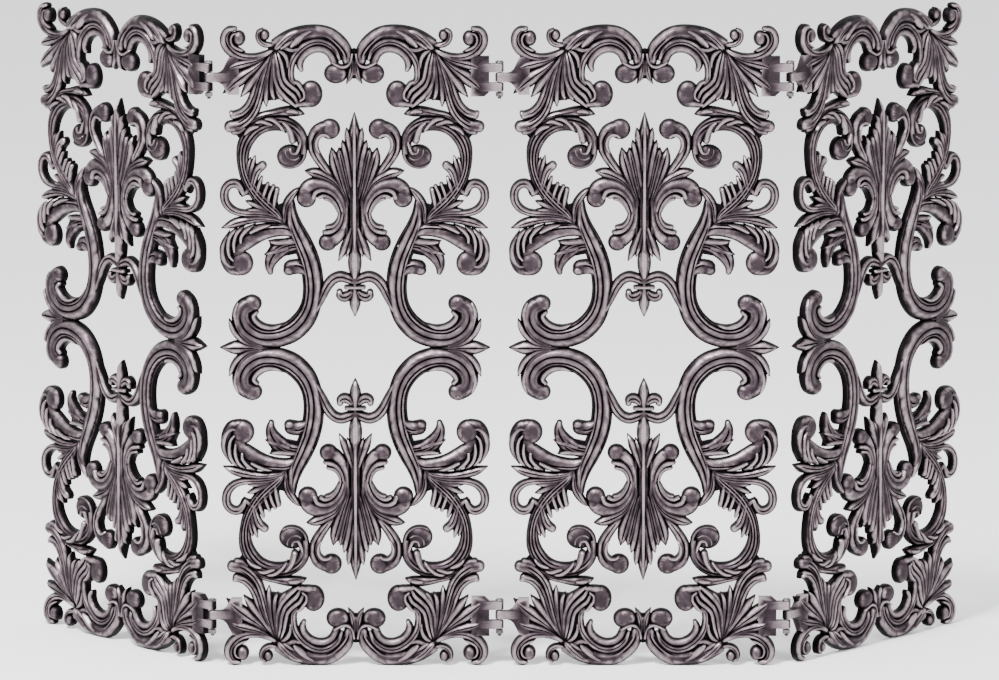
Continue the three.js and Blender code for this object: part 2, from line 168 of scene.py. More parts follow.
def cross_section(share, half, crown, edge, roof, grooves, widest):
    """Points (across from -1 to 1, height) over the front of a scroll, from edge to edge."""
    cuts = [(g[0] + (g[1] - g[0]) * between(g[2], g[3], share)) for g in grooves]
    reach = min(GROOVE_HALF / half, 0.14)
    top = edge + (crown - edge) * min(1.0, half / (0.5 * widest))
    over = lambda s: edge + (top - edge) * (1 - abs(s) ** roof)
    section = []
    sides = [-1.0] + cuts + [1.0]
    for i in range(len(sides) - 1):
        low = sides[i] + (reach if i else 0)
        high = sides[i + 1] - (reach if i < len(sides) - 2 else 0)
        swell = min(BAND_SWELL, 0.16 * half * (high - low))
        places = INNER
        if not grooves:
            places = ALONE
        elif i == 0:
            places = FIRST
        elif i == len(sides) - 2:
            places = LAST
        for f in places:
            s = low + (high - low) * f
            section.append((s, over(s) + swell * math.sin(math.pi * f)))
        if i < len(grooves):
            g = grooves[i]
            fade = between(g[2] - 0.02, g[2] + 0.10, share) * (1 - between(g[3] - 0.10, g[3] + 0.02, share))
            depth = GROOVE_DEPTH * max(fade, 0.02) * min(1.0, half / 5)
            section.append((sides[i + 1], over(sides[i + 1]) - depth))
    return section


def scroll(name, points, crown=14.0, edge=5.5, grooves=(), ends="buried buried", roof=3.0):
    """A scroll, stem or leaf blade as one closed solid. Points are (out, up, half-width); grooves
    are where along and across it they run; an end is buried, round or a point."""
    path = [(*on_panel(o, u), h) for o, u, h in points]
    rings = curve_through(path)
    widest = max(r[2] for r in rings)
    grooves = [(g, g, -1, 2) if isinstance(g, (int, float)) else g for g in grooves]
    along = np.gradient(rings[:, :2], axis=0)
    along /= np.linalg.norm(along, axis=1, keepdims=True)
    stations = []
    for i, (x, z, half) in enumerate(rings):
        stations.append((x, z, max(half, 0.35), along[i], i / (len(rings) - 1), 1.0))
    first, last = ends.split()
    for side, kind in ((0, first), (-1, last)):
        if kind != "round":
            continue
        x, z, half, heading, share, _ = stations[side]
        outward = -1 if side == 0 else 1
        for turn in (28, 52, 72, 85):
            a = math.radians(turn)
            cap = (x + heading[0] * outward * half * math.sin(a),
                   z + heading[1] * outward * half * math.sin(a),
                   half * math.cos(a), heading, share, math.cos(a))
            stations.insert(0, cap) if side == 0 else stations.append(cap)
    verts, faces = [], []
    for x, z, half, heading, share, round_off in stations:
        across = (-heading[1], heading[0])
        least = 0.5 if edge < 6.5 else 0.25
        sink = least + (1 - least) * min(1.0, half / (0.6 * widest))
        low_edge = edge * (0.6 + 0.4 * round_off) * sink
        section = cross_section(share, half if round_off == 1 else half / max(round_off, 0.05),
                                crown, edge, roof, grooves, widest)
        section = [(s, low_edge + (h - edge) * round_off) for s, h in section]
        row = [(-1, 0)] + [(-1, max(section[0][1] - 1.2, 1)), (-0.965, section[0][1])]
        row += [(s, h) for s, h in section[1:-1]]
        row += [(0.965, section[-1][1]), (1, max(section[-1][1] - 1.2, 1)), (1, 0)]
        verts += [(x + across[0] * half * s, BACK - RELIEF_SHARE * h, z + across[1] * half * s)
                  for s, h in row]
    n = len(row)
    for i in range(len(stations) - 1):
        for k in range(n):
            a, b = i * n + k, i * n + (k + 1) % n
            faces.append((a, b, b + n, a + n))
    faces.append(tuple(range(n)))
    faces.append(tuple(range((len(stations) - 1) * n, len(stations) * n)))
    return mesh_object(name, verts, faces)


def bulb(name, out, up, half_width, half_height, crown=16.0, edge=4.5):
    """A domed bulb that ends a scroll."""
    centre = on_panel(out, up)
    sides, tiers = 26, (1.0, 0.985, 0.93, 0.84, 0.70, 0.52, 0.32, 0.13)
    verts, faces = [], []
    for k in range(sides):
        a = 2 * math.pi * k / sides
        verts.append((centre.x + half_width * math.cos(a), BACK, centre.y + half_height * math.sin(a)))
    for tier in tiers:
        rise = edge - 1.5 if tier == 1.0 else edge + (crown - edge) * math.sqrt(1 - tier * tier)
        for k in range(sides):
            a = 2 * math.pi * k / sides
            verts.append((centre.x + half_width * tier * math.cos(a), BACK - RELIEF_SHARE * rise,
                          centre.y + half_height * tier * math.sin(a)))
    for t in range(len(tiers)):
        for k in range(sides):
            a, b = t * sides + k, t * sides + (k + 1) % sides
            faces.append((a, b, b + sides, a + sides))
    faces.append(tuple(range(sides)))
    faces.append(tuple(range(len(tiers) * sides, (len(tiers) + 1) * sides)))
    return mesh_object(name, verts, faces)


def web(name, outline, height):
    """A flat piece of the casting between scrolls."""
    flat = [on_panel(o, u) for o, u in outline]
    n = len(flat)
    verts = [(p.x, BACK, p.y) for p in flat] + [(p.x, BACK - RELIEF_SHARE * height, p.y) for p in flat]
    faces = [(i, (i + 1) % n, (i + 1) % n + n, i + n) for i in range(n)]
    faces += [tuple(range(n)), tuple(range(n, 2 * n))]
    return mesh_object(name, verts, faces, smooth=False)


def fan(name, blades, crown, edge=5.5, roof=1.8, fall=0.0, wide=7.0):
    """Overlapping leaf blades; each is a list of (out, up, half-width), and the later ones lie
    lower by fall. A blade wider than wide has a vein."""
    for i, points in enumerate(blades):
        broad = max(p[2] for p in points) > wide
        round_tip = "round" if points[-1][2] > 1.2 else "buried"
        yield scroll(f"{name} {i + 1}", points, crown=crown - fall * i, edge=edge, roof=roof,
            grooves=[(0.0, 0.0, 0.08, 0.94)] if broad else (), ends="buried " + round_tip)


# ---- the ornament of one quarter ----
def crest():
    yield scroll("crest arch", [(98, 374, 4), (88, 377.8, 7), (76, 382.3, 9), (64, 385, 10),
        (52, 386.8, 9.8), (40, 387, 9.2), (30, 384, 9.4), (21, 377.5, 9.6), (13.5, 369, 9.4),
        (9, 360, 8), (9, 352.5, 6)], crown=15,
        grooves=[(0.1, 0.0, 0.62, 0.98), (0.5, 0.5, 0.5, 0.94)], ends="buried round")
    yield scroll("crest inner band", [(17, 353, 2.4), (21.4, 365, 4.6), (30, 373, 5.4), (40, 376.4, 5.6),
        (50, 375.4, 5.6), (60, 370.2, 5.8), (69, 361, 5.8), (74.8, 350, 5.2), (76.2, 339, 4.6),
        (75.4, 330.6, 4.4), (70.4, 324.4, 3.4)], crown=13.4, grooves=[(-0.2, 0.1, 0.06, 0.96)])
    yield scroll("crest cove", [(63.4, 341.6, 3), (65.2, 347, 4.6), (63.8, 355, 5.4), (58, 362.2, 5.6),
        (50, 366.6, 5.6), (42, 367.8, 5.6), (34, 366, 5.6), (28, 361, 5.6), (24.6, 354, 5.4),
        (22, 346, 5)], crown=11.5, ends="round buried")
    yield scroll("crest leaf blade", [(43.5, 391, 0.8), (54, 388, 3.4), (64, 382, 4.8),
        (72, 374.6, 4.6), (78, 366.6, 0.6)], crown=17, edge=12, roof=1.8)
    yield scroll("crest leaf blade left", [(57, 392, 0.5), (73, 386.6, 4.2), (84, 378.5, 5.2),
        (91, 371, 4.6), (96.8, 364.6, 0.6)], crown=17, edge=11.5, roof=1.8,
        grooves=[(0.0, 0.0, 0.3, 0.92)])
    yield scroll("crest leaf blade right", [(66, 383, 0.5), (78, 374.6, 3.4), (85, 369.6, 3.2),
        (91, 365.8, 0.8)], crown=15.5, edge=10.5, roof=1.8)
    yield bulb("crest bulb", 22, 337.3, 14.6, 12.6, crown=16.5)
    yield scroll("crest bulb hook", [(30, 353.4, 0.4), (22.5, 348.6, 2.8), (15, 345.4, 3), (8.4, 346.8, 3),
        (4.2, 352, 2.8), (2.2, 362, 2.4)], crown=15, edge=9, roof=2)
    yield scroll("crest drop leaf", [(2, 354, 4), (3, 343, 4.8), (4.5, 334.6, 4.6), (9.6, 324.4, 0.5)],
        crown=14, roof=1.8, grooves=[(0.0, 0.0, 0.1, 0.9)])
    yield web("crest foot", [(0, 368), (12, 364), (10, 343), (4, 331), (0, 331)], 6)
    yield scroll("crest drop leaf inner", [(0, 352, 3), (0.5, 341, 3.6), (1.5, 332.5, 1)],
        crown=12.5, roof=1.8, ends="buried round")


def corner():
    yield scroll("corner scroll", [(97, 366.2, 2.5), (106, 361, 4.2), (116, 357.6, 4.8),
        (128, 356.8, 5.2), (139, 359.4, 6.2), (148.6, 365.6, 7), (154.3, 374.4, 6.6),
        (154.2, 384, 5.8), (149, 390.4, 4.6), (142.6, 391.6, 3)], crown=13.5,
        grooves=[(0.0, 0.3, 0.15, 0.93)], ends="buried round")
    yield scroll("corner scroll inner curl", [(130, 363.5, 0.4), (138, 366.6, 2.6), (145.4, 371.4, 3),
        (147.6, 378.6, 2.9), (145, 384.6, 2.5), (140.2, 386, 1.8)], crown=13, edge=7, roof=2,
        ends="buried round")
    yield bulb("corner volute ball", 138, 380, 8.2, 9.6, crown=16)
    yield scroll("bud stem", [(95, 372.6, 2), (104, 371.8, 3.9), (111, 374.8, 4.2), (114.8, 381, 3.8),
        (114.2, 387.4, 3.2), (110.2, 390.4, 2.2)], crown=12.5, ends="buried round",
        grooves=[(0.1, 0.1, 0.1, 0.8)])
    yield bulb("bud", 107.3, 383.8, 6.4, 7.2, crown=14.5)
    yield from fan("corner fan blade", [
        [(97, 364, 1), (117, 353.2, 5.4), (133, 349.2, 7), (145, 346, 6), (156, 340.6, 0.6)],
        [(97, 363.6, 1), (117, 345.5, 5.6), (131, 335.4, 8.2), (144, 325.6, 8.2), (157.6, 312.8, 0.6)],
        [(97, 363.4, 1), (113, 340, 5), (122, 327, 6.6), (129, 318, 5.4), (136.6, 308.4, 0.6)]],
        crown=14, wide=6.8)
    yield from fan("corner hanging blade", [
        [(97, 364, 1), (103.6, 336, 4.4), (105.6, 318, 5.6), (106, 307, 4.6), (105.4, 296.6, 0.6)],
        [(96.6, 364, 1), (98.5, 336, 4.2), (99, 320, 5.2), (97.6, 311, 4.2), (94, 304.4, 0.6)],
        [(96.2, 364, 1), (93.6, 338, 4.2), (93, 322, 5), (89.5, 311, 4.6), (83.6, 303.6, 1)]],
        crown=13.2, fall=0.4)
    yield web("crest root", [(104, 372), (101, 355), (84, 346), (78, 352), (68, 366), (62, 378),
        (84, 384), (97, 377)], 7)
    yield from fan("crest root blade", [
        [(94, 367, 1), (85, 362, 4.8), (80, 353, 4.2), (79.6, 342, 1.6)],
        [(94, 368.6, 1), (83, 368.4, 4.8), (73, 365.6, 4.6), (64, 369, 1.6)]], crown=13, roof=2)
    yield from fan("corner leaf fold", [
        [(93, 367, 1), (87.6, 351, 4.2), (85.6, 340, 4.6), (83, 330, 4.8), (76, 322.6, 5),
         (68, 316, 4.6), (63.6, 307, 3.8)],
        [(95, 365.6, 1), (91.6, 346, 4), (90, 334, 4.6), (86, 323.4, 5), (79, 316, 5.2), (72, 309.6, 5),
         (67.6, 301.6, 3.6)],
        [(96, 364, 1), (95.4, 332, 4.2), (90.4, 319, 4.8), (83, 309.6, 5), (76, 303, 4.6),
         (69.6, 297.6, 3)]],
        crown=13.8, roof=2)
    yield web("corner leaf ground", [(98, 356), (84, 358), (76, 342), (73, 326), (62, 304), (72, 296),
        (90, 306), (106, 304), (112, 318)], 7.5)
    yield scroll("corner bulb hook", [(76, 328.4, 0.6), (68.6, 326.2, 3), (63.8, 320.6, 3.4),
        (60, 314.6, 3.4), (60.2, 308.4, 3.2), (64.4, 304.8, 2.6)], crown=16.5, edge=8, roof=2,
        ends="buried round")
    yield bulb("corner bulb", 51.6, 312.4, 14, 16.6, crown=16.5)
    yield scroll("corner bulb foot", [(70, 299.5, 4), (62, 301, 5.6), (54, 303, 7), (47, 307, 7)],
        crown=13.5, ends="buried round")


def stem():
    yield scroll("stem outer band", [(97.4, 364.6, 1), (110.6, 339, 4.6), (116, 325, 5.6), (120.6, 310, 6),
        (126.4, 298, 6), (135, 290, 5.8), (144.4, 286.6, 5.6)], crown=13.5, ends="buried round",
        grooves=[(0.0, 0.0, 0.1, 0.95)])
    yield scroll("stem outer band tip", [(137, 288, 3), (143.6, 286.4, 4.4), (147.4, 289.4, 3.2)],
        crown=13, ends="buried round", roof=2)
    yield scroll("stem inner band", [(97.2, 364.6, 1), (106.6, 338, 4.4), (111, 321, 5.6), (115, 305, 6),
        (120, 292, 6.6), (128, 281.6, 7.2), (139, 274.4, 8), (149, 272.8, 7.8)], crown=14.5,
        grooves=[(-0.2, -0.1, 0.1, 0.94), (0.45, 0.45, 0.3, 0.9)], ends="buried round")
    yield scroll("stem foot", [(131, 272, 4), (138, 267.6, 5), (144.6, 266.4, 4.2)], crown=11.5,
        ends="buried round")
    yield scroll("tie leaf", [(124, 278, 3), (113, 285.4, 4.4), (99, 289, 4.8), (87, 291, 6),
        (76, 291.4, 6.8), (67, 290, 5.2), (59.6, 287.6, 0.8)], crown=12.5, roof=2.2,
        grooves=[(-0.1, 0.1, 0.05, 0.6)])
    yield scroll("tie leaf tip", [(85, 291, 0.8), (79, 291.6, 3), (72, 291.4, 3.4), (64, 289.4, 0.8)],
        crown=15.5, edge=11.5, roof=2)
    yield web("stem crotch", [(118, 292), (120, 270), (134, 254), (143, 264), (132, 282)], 7)


def side_scroll():
    yield web("side scroll root", [(108, 184), (92, 178), (80, 182), (78, 168), (84, 152), (104, 156),
        (112, 164), (120, 172)], 7.5)
    yield scroll("side scroll", [(62, 240, 5), (61.6, 250, 6.2), (64.6, 261, 8), (72, 270, 9),
        (82, 275.4, 9.6), (95, 277, 9.6), (108, 275, 9.6), (119, 269, 9.6), (127.4, 259.6, 9.6),
        (132.6, 248.6, 9), (134.4, 236, 7.8), (133.4, 223, 7.2), (130, 211, 7.6), (124, 199, 7.8),
        (115.6, 187.4, 8.4), (105, 176.6, 8.6), (94, 167, 6.4), (84, 155, 2)], crown=14,
        grooves=[(-0.45, -0.35, 0.30, 0.99), (0.02, 0.1, 0.08, 0.99), (0.5, 0.5, 0.12, 0.93)])
    yield from fan("side scroll overlay", [
        [(134.4, 259.6, 0.4), (127, 268.6, 3.4), (119, 272.6, 3.4), (111.4, 274.4, 0.7)],
        [(124, 275.6, 0.4), (112, 279.4, 3.4), (102.6, 277, 3.8), (94, 274.4, 0.7)],
        [(114, 282.6, 0.4), (100, 282, 3.6), (90, 275.4, 3.6), (82, 265, 0.8)]],
        crown=16.5, edge=11, roof=1.8)
    yield scroll("side scroll tongue", [(92, 282.4, 0.5), (81.6, 275, 4), (76, 266, 5), (74, 256.4, 4.8)],
        crown=16.5, edge=9, roof=2.2, ends="buried round")
    yield bulb("side bulb", 77.2, 236.6, 16.4, 14.8, crown=16)
    yield scroll("side bulb rim", [(91.5, 230.4, 0.6), (85.4, 225.4, 2.2), (76.6, 223.8, 2.4),
        (67.4, 227, 2.6), (61, 235, 2.8), (59, 246, 3)], crown=12, edge=7, roof=2, ends="round buried")
    yield scroll("side bulb hook", [(63.4, 260, 0.6), (66, 248.4, 3.4), (70, 241, 3.8), (75.4, 241.4, 3.6),
        (77, 246, 2.6)], crown=16.8, edge=9, roof=2, ends="buried round")
    yield scroll("side bulb hook ring", [(82.6, 248.6, 0.5), (82.4, 240.6, 2), (78, 235, 2.2),
        (71, 233.6, 2.2), (63.6, 238.4, 0.5)], crown=16.8, edge=9, roof=2)
    yield from fan("rib leaf finger", [
        [(120, 186, 2.6), (115.4, 200, 4.2), (111.6, 211.4, 1.8)],
        [(112, 180, 2.6), (108.2, 193, 3.8), (104.4, 203, 2.6)],
        [(105, 176, 2.6), (102, 190, 3.8), (97.6, 200, 2.8)],
        [(98, 170, 3), (96, 184, 4.2), (93.4, 196, 3.8)]], crown=12.6, roof=2)
    yield web("rib leaf ground", [(122, 192), (115, 202), (107, 203), (94, 198), (92, 180), (90, 168),
        (104, 166)], 6.5)
    yield scroll("hook leaf", [(124, 196, 3.6), (121, 210, 5.2), (117, 220, 6), (110.6, 225.6, 5.6)],
        crown=13.6, grooves=[(0.15, 0.15, 0.1, 0.9)], ends="buried round")
    yield from fan("hook leaf back blade", [
        [(127, 202, 3), (125, 217, 4.4), (122, 228, 4), (119.6, 236.4, 1.4)],
        [(130, 210, 3), (128, 224, 3.6), (124.6, 235.4, 1)]], crown=12.6)
    yield web("hook leaf ground", [(130, 210), (127, 230), (118, 228), (113, 218), (118, 202)], 6.5)


def ear_and_shoulder():
    yield scroll("ear", [(133.6, 191.4, 3.2), (136.6, 198, 4.8), (142, 203.4, 5.8), (149, 203, 5.9),
        (154.8, 197.8, 5.8), (156.8, 189.6, 5.7), (155, 180.6, 5.6), (149, 173, 5.4), (140.6, 168.8, 4.8),
        (129, 167.2, 4.6), (116, 167, 4.8), (103, 165.4, 4.4), (91, 161, 2.6), (83, 153, 1)], crown=13,
        grooves=[(0.0, 0.1, 0.1, 0.99)], ends="round buried")
    yield web("ear root", [(130, 208), (142, 208), (143, 201), (138, 189), (127, 189.5), (124, 196)], 6.5)
    yield scroll("ear barb", [(124, 199, 4), (130, 194, 4.6), (136, 187.4, 1)], crown=11.5, roof=1.8)
    yield from fan("ear point", [
        [(104, 171, 4), (115, 175.6, 5), (124.6, 180, 3.8), (131.6, 182.4, 0.6)],
        [(104, 168.6, 3), (118, 171.6, 4), (129.8, 171.4, 1.4)]], crown=12.4)
    yield scroll("side spur", [(82, 151, 1), (91, 158, 3.4), (104, 160.4, 4.8), (120, 160.4, 5.4),
        (134, 158, 6), (147, 154.2, 5.8), (160.6, 149, 0.6)], crown=12.6, roof=2,
        grooves=[(-0.2, 0.0, 0.08, 0.92)])
    yield scroll("shoulder scroll", [(64, 134, 3), (73, 142.4, 6), (83, 147, 8), (96, 147, 9),
        (110, 144.6, 10.4), (123, 140, 12.4), (134, 133.4, 12.8), (140, 126, 11), (141.4, 118, 9)], crown=13,
        grooves=[(0.28, 0.3, 0.12, 0.95), (0.66, 0.66, 0.3, 0.9)], ends="buried round")
    yield scroll("shoulder outer band", [(141, 144, 3), (150.4, 133.6, 6), (155.4, 121, 7), (154.6, 109, 7.4),
        (148.6, 100, 7.6), (140, 96.6, 6)], crown=12.6, ends="buried round")
    yield from fan("shoulder finger", [
        [(98, 154.6, 0.4), (113, 150.4, 3.6), (125, 144.6, 3)],
        [(119, 154.6, 0.4), (131, 146.4, 3.6), (136.6, 139, 3.8), (137, 133, 3)],
        [(131, 153.6, 0.4), (142, 143, 3.8), (145.4, 132, 3.8), (144.8, 120.6, 2.2)],
        [(140, 152, 0.4), (150.4, 138, 4), (152.6, 126, 4), (150.6, 115.6, 3), (146, 110, 2.2)]],
        crown=17, edge=10, roof=2)
    yield bulb("shoulder bulb", 136.4, 106.4, 14.6, 15.4, crown=17.4)
    yield scroll("shoulder curl", [(150, 147, 0.5), (158, 129, 4), (158.4, 117, 4.4), (155, 107.4, 4.2),
        (149, 102.6, 3.8), (143.4, 104, 3.2), (142, 108.6, 2.6)], crown=15.2, edge=8, roof=2,
        ends="buried round")


def main_scroll():
    yield scroll("main scroll", [(76, 191, 1.8), (76.4, 180, 5), (76, 167, 7.4), (72, 151, 10),
        (64, 133, 12), (56, 113, 12.8), (51.4, 93, 13), (50.4, 73, 12.6), (53.4, 54, 12.6),
        (61.6, 37, 13.6), (77, 22.6, 14), (98, 15.6, 13.6), (116, 17, 14), (130.6, 26.6, 14),
        (136.6, 40, 12.6), (133.6, 51, 12), (124.6, 56.6, 11.6)], crown=15.5,
        grooves=[(-0.68, -0.8, 0.04, 0.5), (0.0, -0.16, 0.04, 0.93), (0.45, 0.42, 0.1, 0.86),
                 (0.76, 0.72, 0.16, 0.8)],
        ends="buried round")
    yield scroll("main bulb hook", [(82, 34.4, 0.4), (98, 27.8, 3.6), (110, 28.8, 4.6), (119, 34.6, 4.8),
        (122.6, 42, 4.2), (118.6, 46.6, 3)], crown=14.5, edge=8, roof=2, ends="buried round")
    yield bulb("main bulb", 124.2, 57, 12.2, 10.8, crown=17)
    yield from fan("outer rim leaf", [
        [(114, 4.4, 2.4), (131, 9, 3.8), (142, 18, 4.6), (148.6, 29, 4), (152, 38.4, 0.7)],
        [(112, 5, 2.4), (129, 12, 3.8), (138.6, 22, 4), (143.4, 35, 4), (144.6, 47, 3.6), (141, 58, 1.8)]],
        crown=13.6, roof=2)
    yield scroll("link leaf", [(85, 150, 1), (84, 165, 4.4), (82.6, 176, 5.6), (77, 186.6, 5.4),
        (70, 195, 3.4), (65.6, 199, 0.5)], crown=13, roof=2, grooves=[(0.0, 0.0, 0.1, 0.9)])
    yield scroll("inner leaf", [(52, 126, 5), (66, 129.6, 8), (80, 128, 9.4), (92, 121.6, 10.4),
        (100, 111.4, 8.6), (102.6, 102, 6), (101.8, 95.4, 3.8)], crown=12.8,
        grooves=[(-0.35, -0.3, 0.06, 0.6), (0.0, 0.1, 0.05, 0.9), (0.42, 0.4, 0.05, 0.6)],
        ends="buried round")
    yield web("inner leaf ground", [(60, 136), (80, 136), (97, 134), (103, 132), (102, 127), (108, 117.5),
        (106, 110), (90, 114), (70, 118), (58, 112)], 7)
    yield from fan("inner leaf point", [
        [(72, 133, 4), (88, 131.4, 5), (97, 132, 3.8), (104.4, 133.6, 0.6)],
        [(80, 126, 4), (92, 121.6, 5.4), (101, 119.4, 3.8), (109.4, 116.6, 0.6)]], crown=13, roof=2)
    yield scroll("inner curl", [(55, 90, 5), (60, 98, 7.6), (68, 102, 9.2), (77, 101.2, 9.4)],
        crown=12.6, grooves=[(0.1, 0.2, 0.05, 0.9), (0.6, 0.6, 0.05, 0.7)], ends="buried round")
    yield bulb("inner curl ball", 79, 97.6, 7.6, 6.4, crown=15)


def fleur():
    yield scroll("snail curl", [(27, 213, 3), (35.6, 223, 5.4), (43.6, 234, 6.4), (49.4, 246, 7),
        (49.4, 257.6, 7.6), (44.4, 266.6, 8.6), (36, 271, 9)], crown=13.6,
        grooves=[(-0.1, 0.05, 0.08, 0.9)], ends="buried round")
    yield bulb("snail bulb", 29.6, 269.8, 13, 12.8, crown=16)
    yield scroll("snail hook", [(39, 236, 0.4), (45.6, 249, 2.8), (44.6, 258, 3.2), (39.4, 263.2, 3.4),
        (33.4, 263, 3.2), (30, 260.6, 2.4)], crown=16, edge=8, roof=2, ends="buried round")
    yield from fan("fleur blade", [
        [(8, 180, 3), (24, 205, 5.4), (38, 213.4, 7.4), (49, 217, 6.4), (55.6, 218.4, 3.6), (60, 219, 0.6)],
        [(6, 175, 3), (16, 205, 6.6), (22, 225, 8.4), (25.2, 236.6, 6.6), (26.8, 243.4, 3),
         (27.6, 247.4, 0.6)],
        [(5, 185, 3), (11, 213, 6), (15, 231, 6.6), (17.4, 241, 4.6), (18.6, 247.4, 0.6)],
        [(4, 200, 3), (8.4, 228, 5.6), (11.6, 244, 5.2), (13.4, 251.6, 3.2), (14.6, 256.4, 0.6)],
        [(2, 220, 3), (5.2, 246, 5), (7.4, 260, 4.8), (8.8, 267, 2.8), (9.4, 271.4, 0.6)]],
        crown=13.4, fall=-0.3, wide=5.9)
    yield web("fleur ground", [(-1, 150), (-1, 262), (6, 262), (15, 240), (26, 226), (48, 220), (53, 213),
        (30, 196), (18, 178), (18, 158), (24, 150)], 7)
    yield from fan("fleur upper lobe", [
        [(9, 140, 3), (11, 160, 4.4), (14, 178, 6), (21, 191.6, 7.4), (32, 200.6, 8.4), (45, 202.8, 9.4),
         (56, 198, 9.8), (60, 189, 9.2), (57.6, 183.4, 8.4)]], crown=13.6, roof=3, wide=20)
    yield from fan("fleur lobe finger", [
        [(12, 158, 1), (18, 181, 4), (26, 191.6, 4.8), (37, 196.4, 5), (46.4, 193.6, 5), (50, 187, 4.4)],
        [(15.6, 160, 1), (21.6, 178, 3.4), (28.6, 186.6, 4), (36.6, 189.6, 4.2), (42, 187.6, 3.2)],
        [(18, 164, 0.8), (24.6, 179.4, 2.8), (31, 184.6, 3), (35.6, 185.4, 2.4)]],
        crown=15.6, edge=7, roof=2.2, fall=0.7)
    yield bulb("fleur upper bulb", 58, 186, 12.2, 12, crown=16.6)
    yield from fan("fleur lower lobe", [
        [(9, 196, 3), (10, 172, 4.4), (12, 156, 6), (17.6, 143, 7.4), (26, 134.6, 8.6), (33, 132, 9)]],
        crown=13.4, roof=3, wide=20)
    yield from fan("fleur lower finger", [
        [(12.6, 180, 1), (16.4, 158, 3.8), (23, 148.6, 4.8), (32, 144.6, 4.4), (36.6, 144, 3)],
        [(17, 178, 0.8), (19.6, 159, 3), (25, 152.4, 3.6), (33, 150.6, 2.8)]],
        crown=15, edge=7, roof=2.2, fall=0.7)
    yield bulb("fleur lower bulb", 32.6, 132, 11.4, 10.8, crown=16)
    yield from fan("fleur lower blade", [
        [(4, 150, 3), (9, 134, 5), (13.6, 121.6, 5.4), (19.8, 108.8, 0.6)],
        [(2, 145, 3), (6, 127, 4.4), (10, 114, 0.8)]], crown=13, roof=2)
    yield scroll("bow", [(55, 33, 1.5), (46.4, 50, 3.6), (39.6, 65, 5.4), (33.4, 78.4, 6.6), (26, 86.8, 6.8),
        (17.6, 90, 7), (9, 88, 6.6), (-2, 83, 5.6)], crown=13, grooves=[(-0.1, 0.0, 0.1, 0.97)])
    yield scroll("little fleur lobe", [(2.6, 74, 3), (7, 67.6, 6), (12.8, 65, 6.6), (17.4, 67, 5.8),
        (18.4, 71, 4.2)], crown=13, grooves=[(0.0, 0.0, 0.1, 0.9)], ends="buried round")


def centre_line():
    """What stands on the panel's centre-line, mirrored up and down only."""
    yield scroll("fleur spear", [(0, 118, 4), (0, 150, 7), (0, 190, 7.4), (0, 220, 7.6), (0, 243, 9),
        (0, 258, 8.6), (0, 273, 6), (0, 290.2, 0.5)], crown=16.5, roof=2,
        grooves=[(-0.42, -0.3, 0.05, 0.9), (0.42, 0.3, 0.05, 0.9)])
    yield scroll("fleur foot", [(0, 150, 3), (0, 124, 6.4), (0, 108, 8.6), (0, 96, 7), (0, 80, 0.6)],
        crown=15.5, roof=2)
    yield scroll("little fleur spear", [(0, 84, 3), (0, 71, 5), (0, 60, 7.4), (0, 51, 5.4), (0, 40.6, 0.5)],
        crown=14.5, roof=1.8)
    yield scroll("little fleur collar", [(-10.6, 77.2, 2.8), (0, 77.2, 3), (10.6, 77.2, 2.8)], crown=16,
        edge=8, ends="round round")


def mid_line():
    """What stands on the panel's mid-line, mirrored left and right only."""
    mid = DRAWING_MIDLINE
    yield scroll("mid point", [(104, mid, 3), (128, mid, 6.4), (143, mid, 9), (151, mid, 6.8),
        (163.4, mid, 0.5)], crown=14, roof=1.8, grooves=[(0.0, 0.0, 0.3, 0.95)])


# ---- hinge lugs, cast on ----
def lug(x0, x1, z0, z1):
    """A lug from x0 in the plate to a knuckle about the pin at x1, with softened edges."""
    sides = 20
    toward = 1 if x1 > x0 else -1
    outline = [(x0, -KNUCKLE_RADIUS)]
    for k in range(sides + 1):
        a = -math.pi / 2 + math.pi * k / sides
        outline.append((x1 + toward * KNUCKLE_RADIUS * math.cos(a), KNUCKLE_RADIUS * math.sin(a)))
    outline.append((x0, KNUCKLE_RADIUS))
    middle = (x0 + x1) / 2
    soften = 0.9
    tiers = [(z0, soften), (z0 + soften * 0.35, soften * 0.35), (z0 + soften, 0), (z1 - soften, 0),
             (z1 - soften * 0.35, soften * 0.35), (z1, soften)]
    verts, faces = [], []
    n = len(outline)
    for z, inset in tiers:
        for x, y in outline:
            keep = 1 - inset / max(math.hypot(x - middle, y), 1e-6)
            verts.append((middle + (x - middle) * keep, y * keep, z))
    for t in range(len(tiers) - 1):
        for k in range(n):
            a, b = t * n + k, t * n + (k + 1) % n
            faces.append((a, b, b + n, a + n))
    faces += [tuple(range(n)), tuple(range((len(tiers) - 1) * n, len(tiers) * n))]
    return mesh_object("lug", verts, faces)


def drill(name, x, z0, z1):
    bm = bmesh.new()
    bmesh.ops.create_cone(bm, cap_ends=True, segments=28, radius1=PIN_HOLE_RADIUS,
                          radius2=PIN_HOLE_RADIUS, depth=z1 - z0,
                          matrix=Matrix.Translation((x, 0, (z0 + z1) / 2)))
    mesh = bpy.data.meshes.new(name)
    bm.to_mesh(mesh)
    bm.free()
    made = bpy.data.objects.new(name, mesh)
    bpy.context.scene.collection.objects.link(made)
    return made


pitch_mm = HINGE_PITCH / MM
pin_x = pitch_mm / 2
plate_edge = pin_x - LUG_REACH
slot_half = LUG_HEIGHT / 2 + LUG_GAP
fork_half = slot_half + LUG_HEIGHT


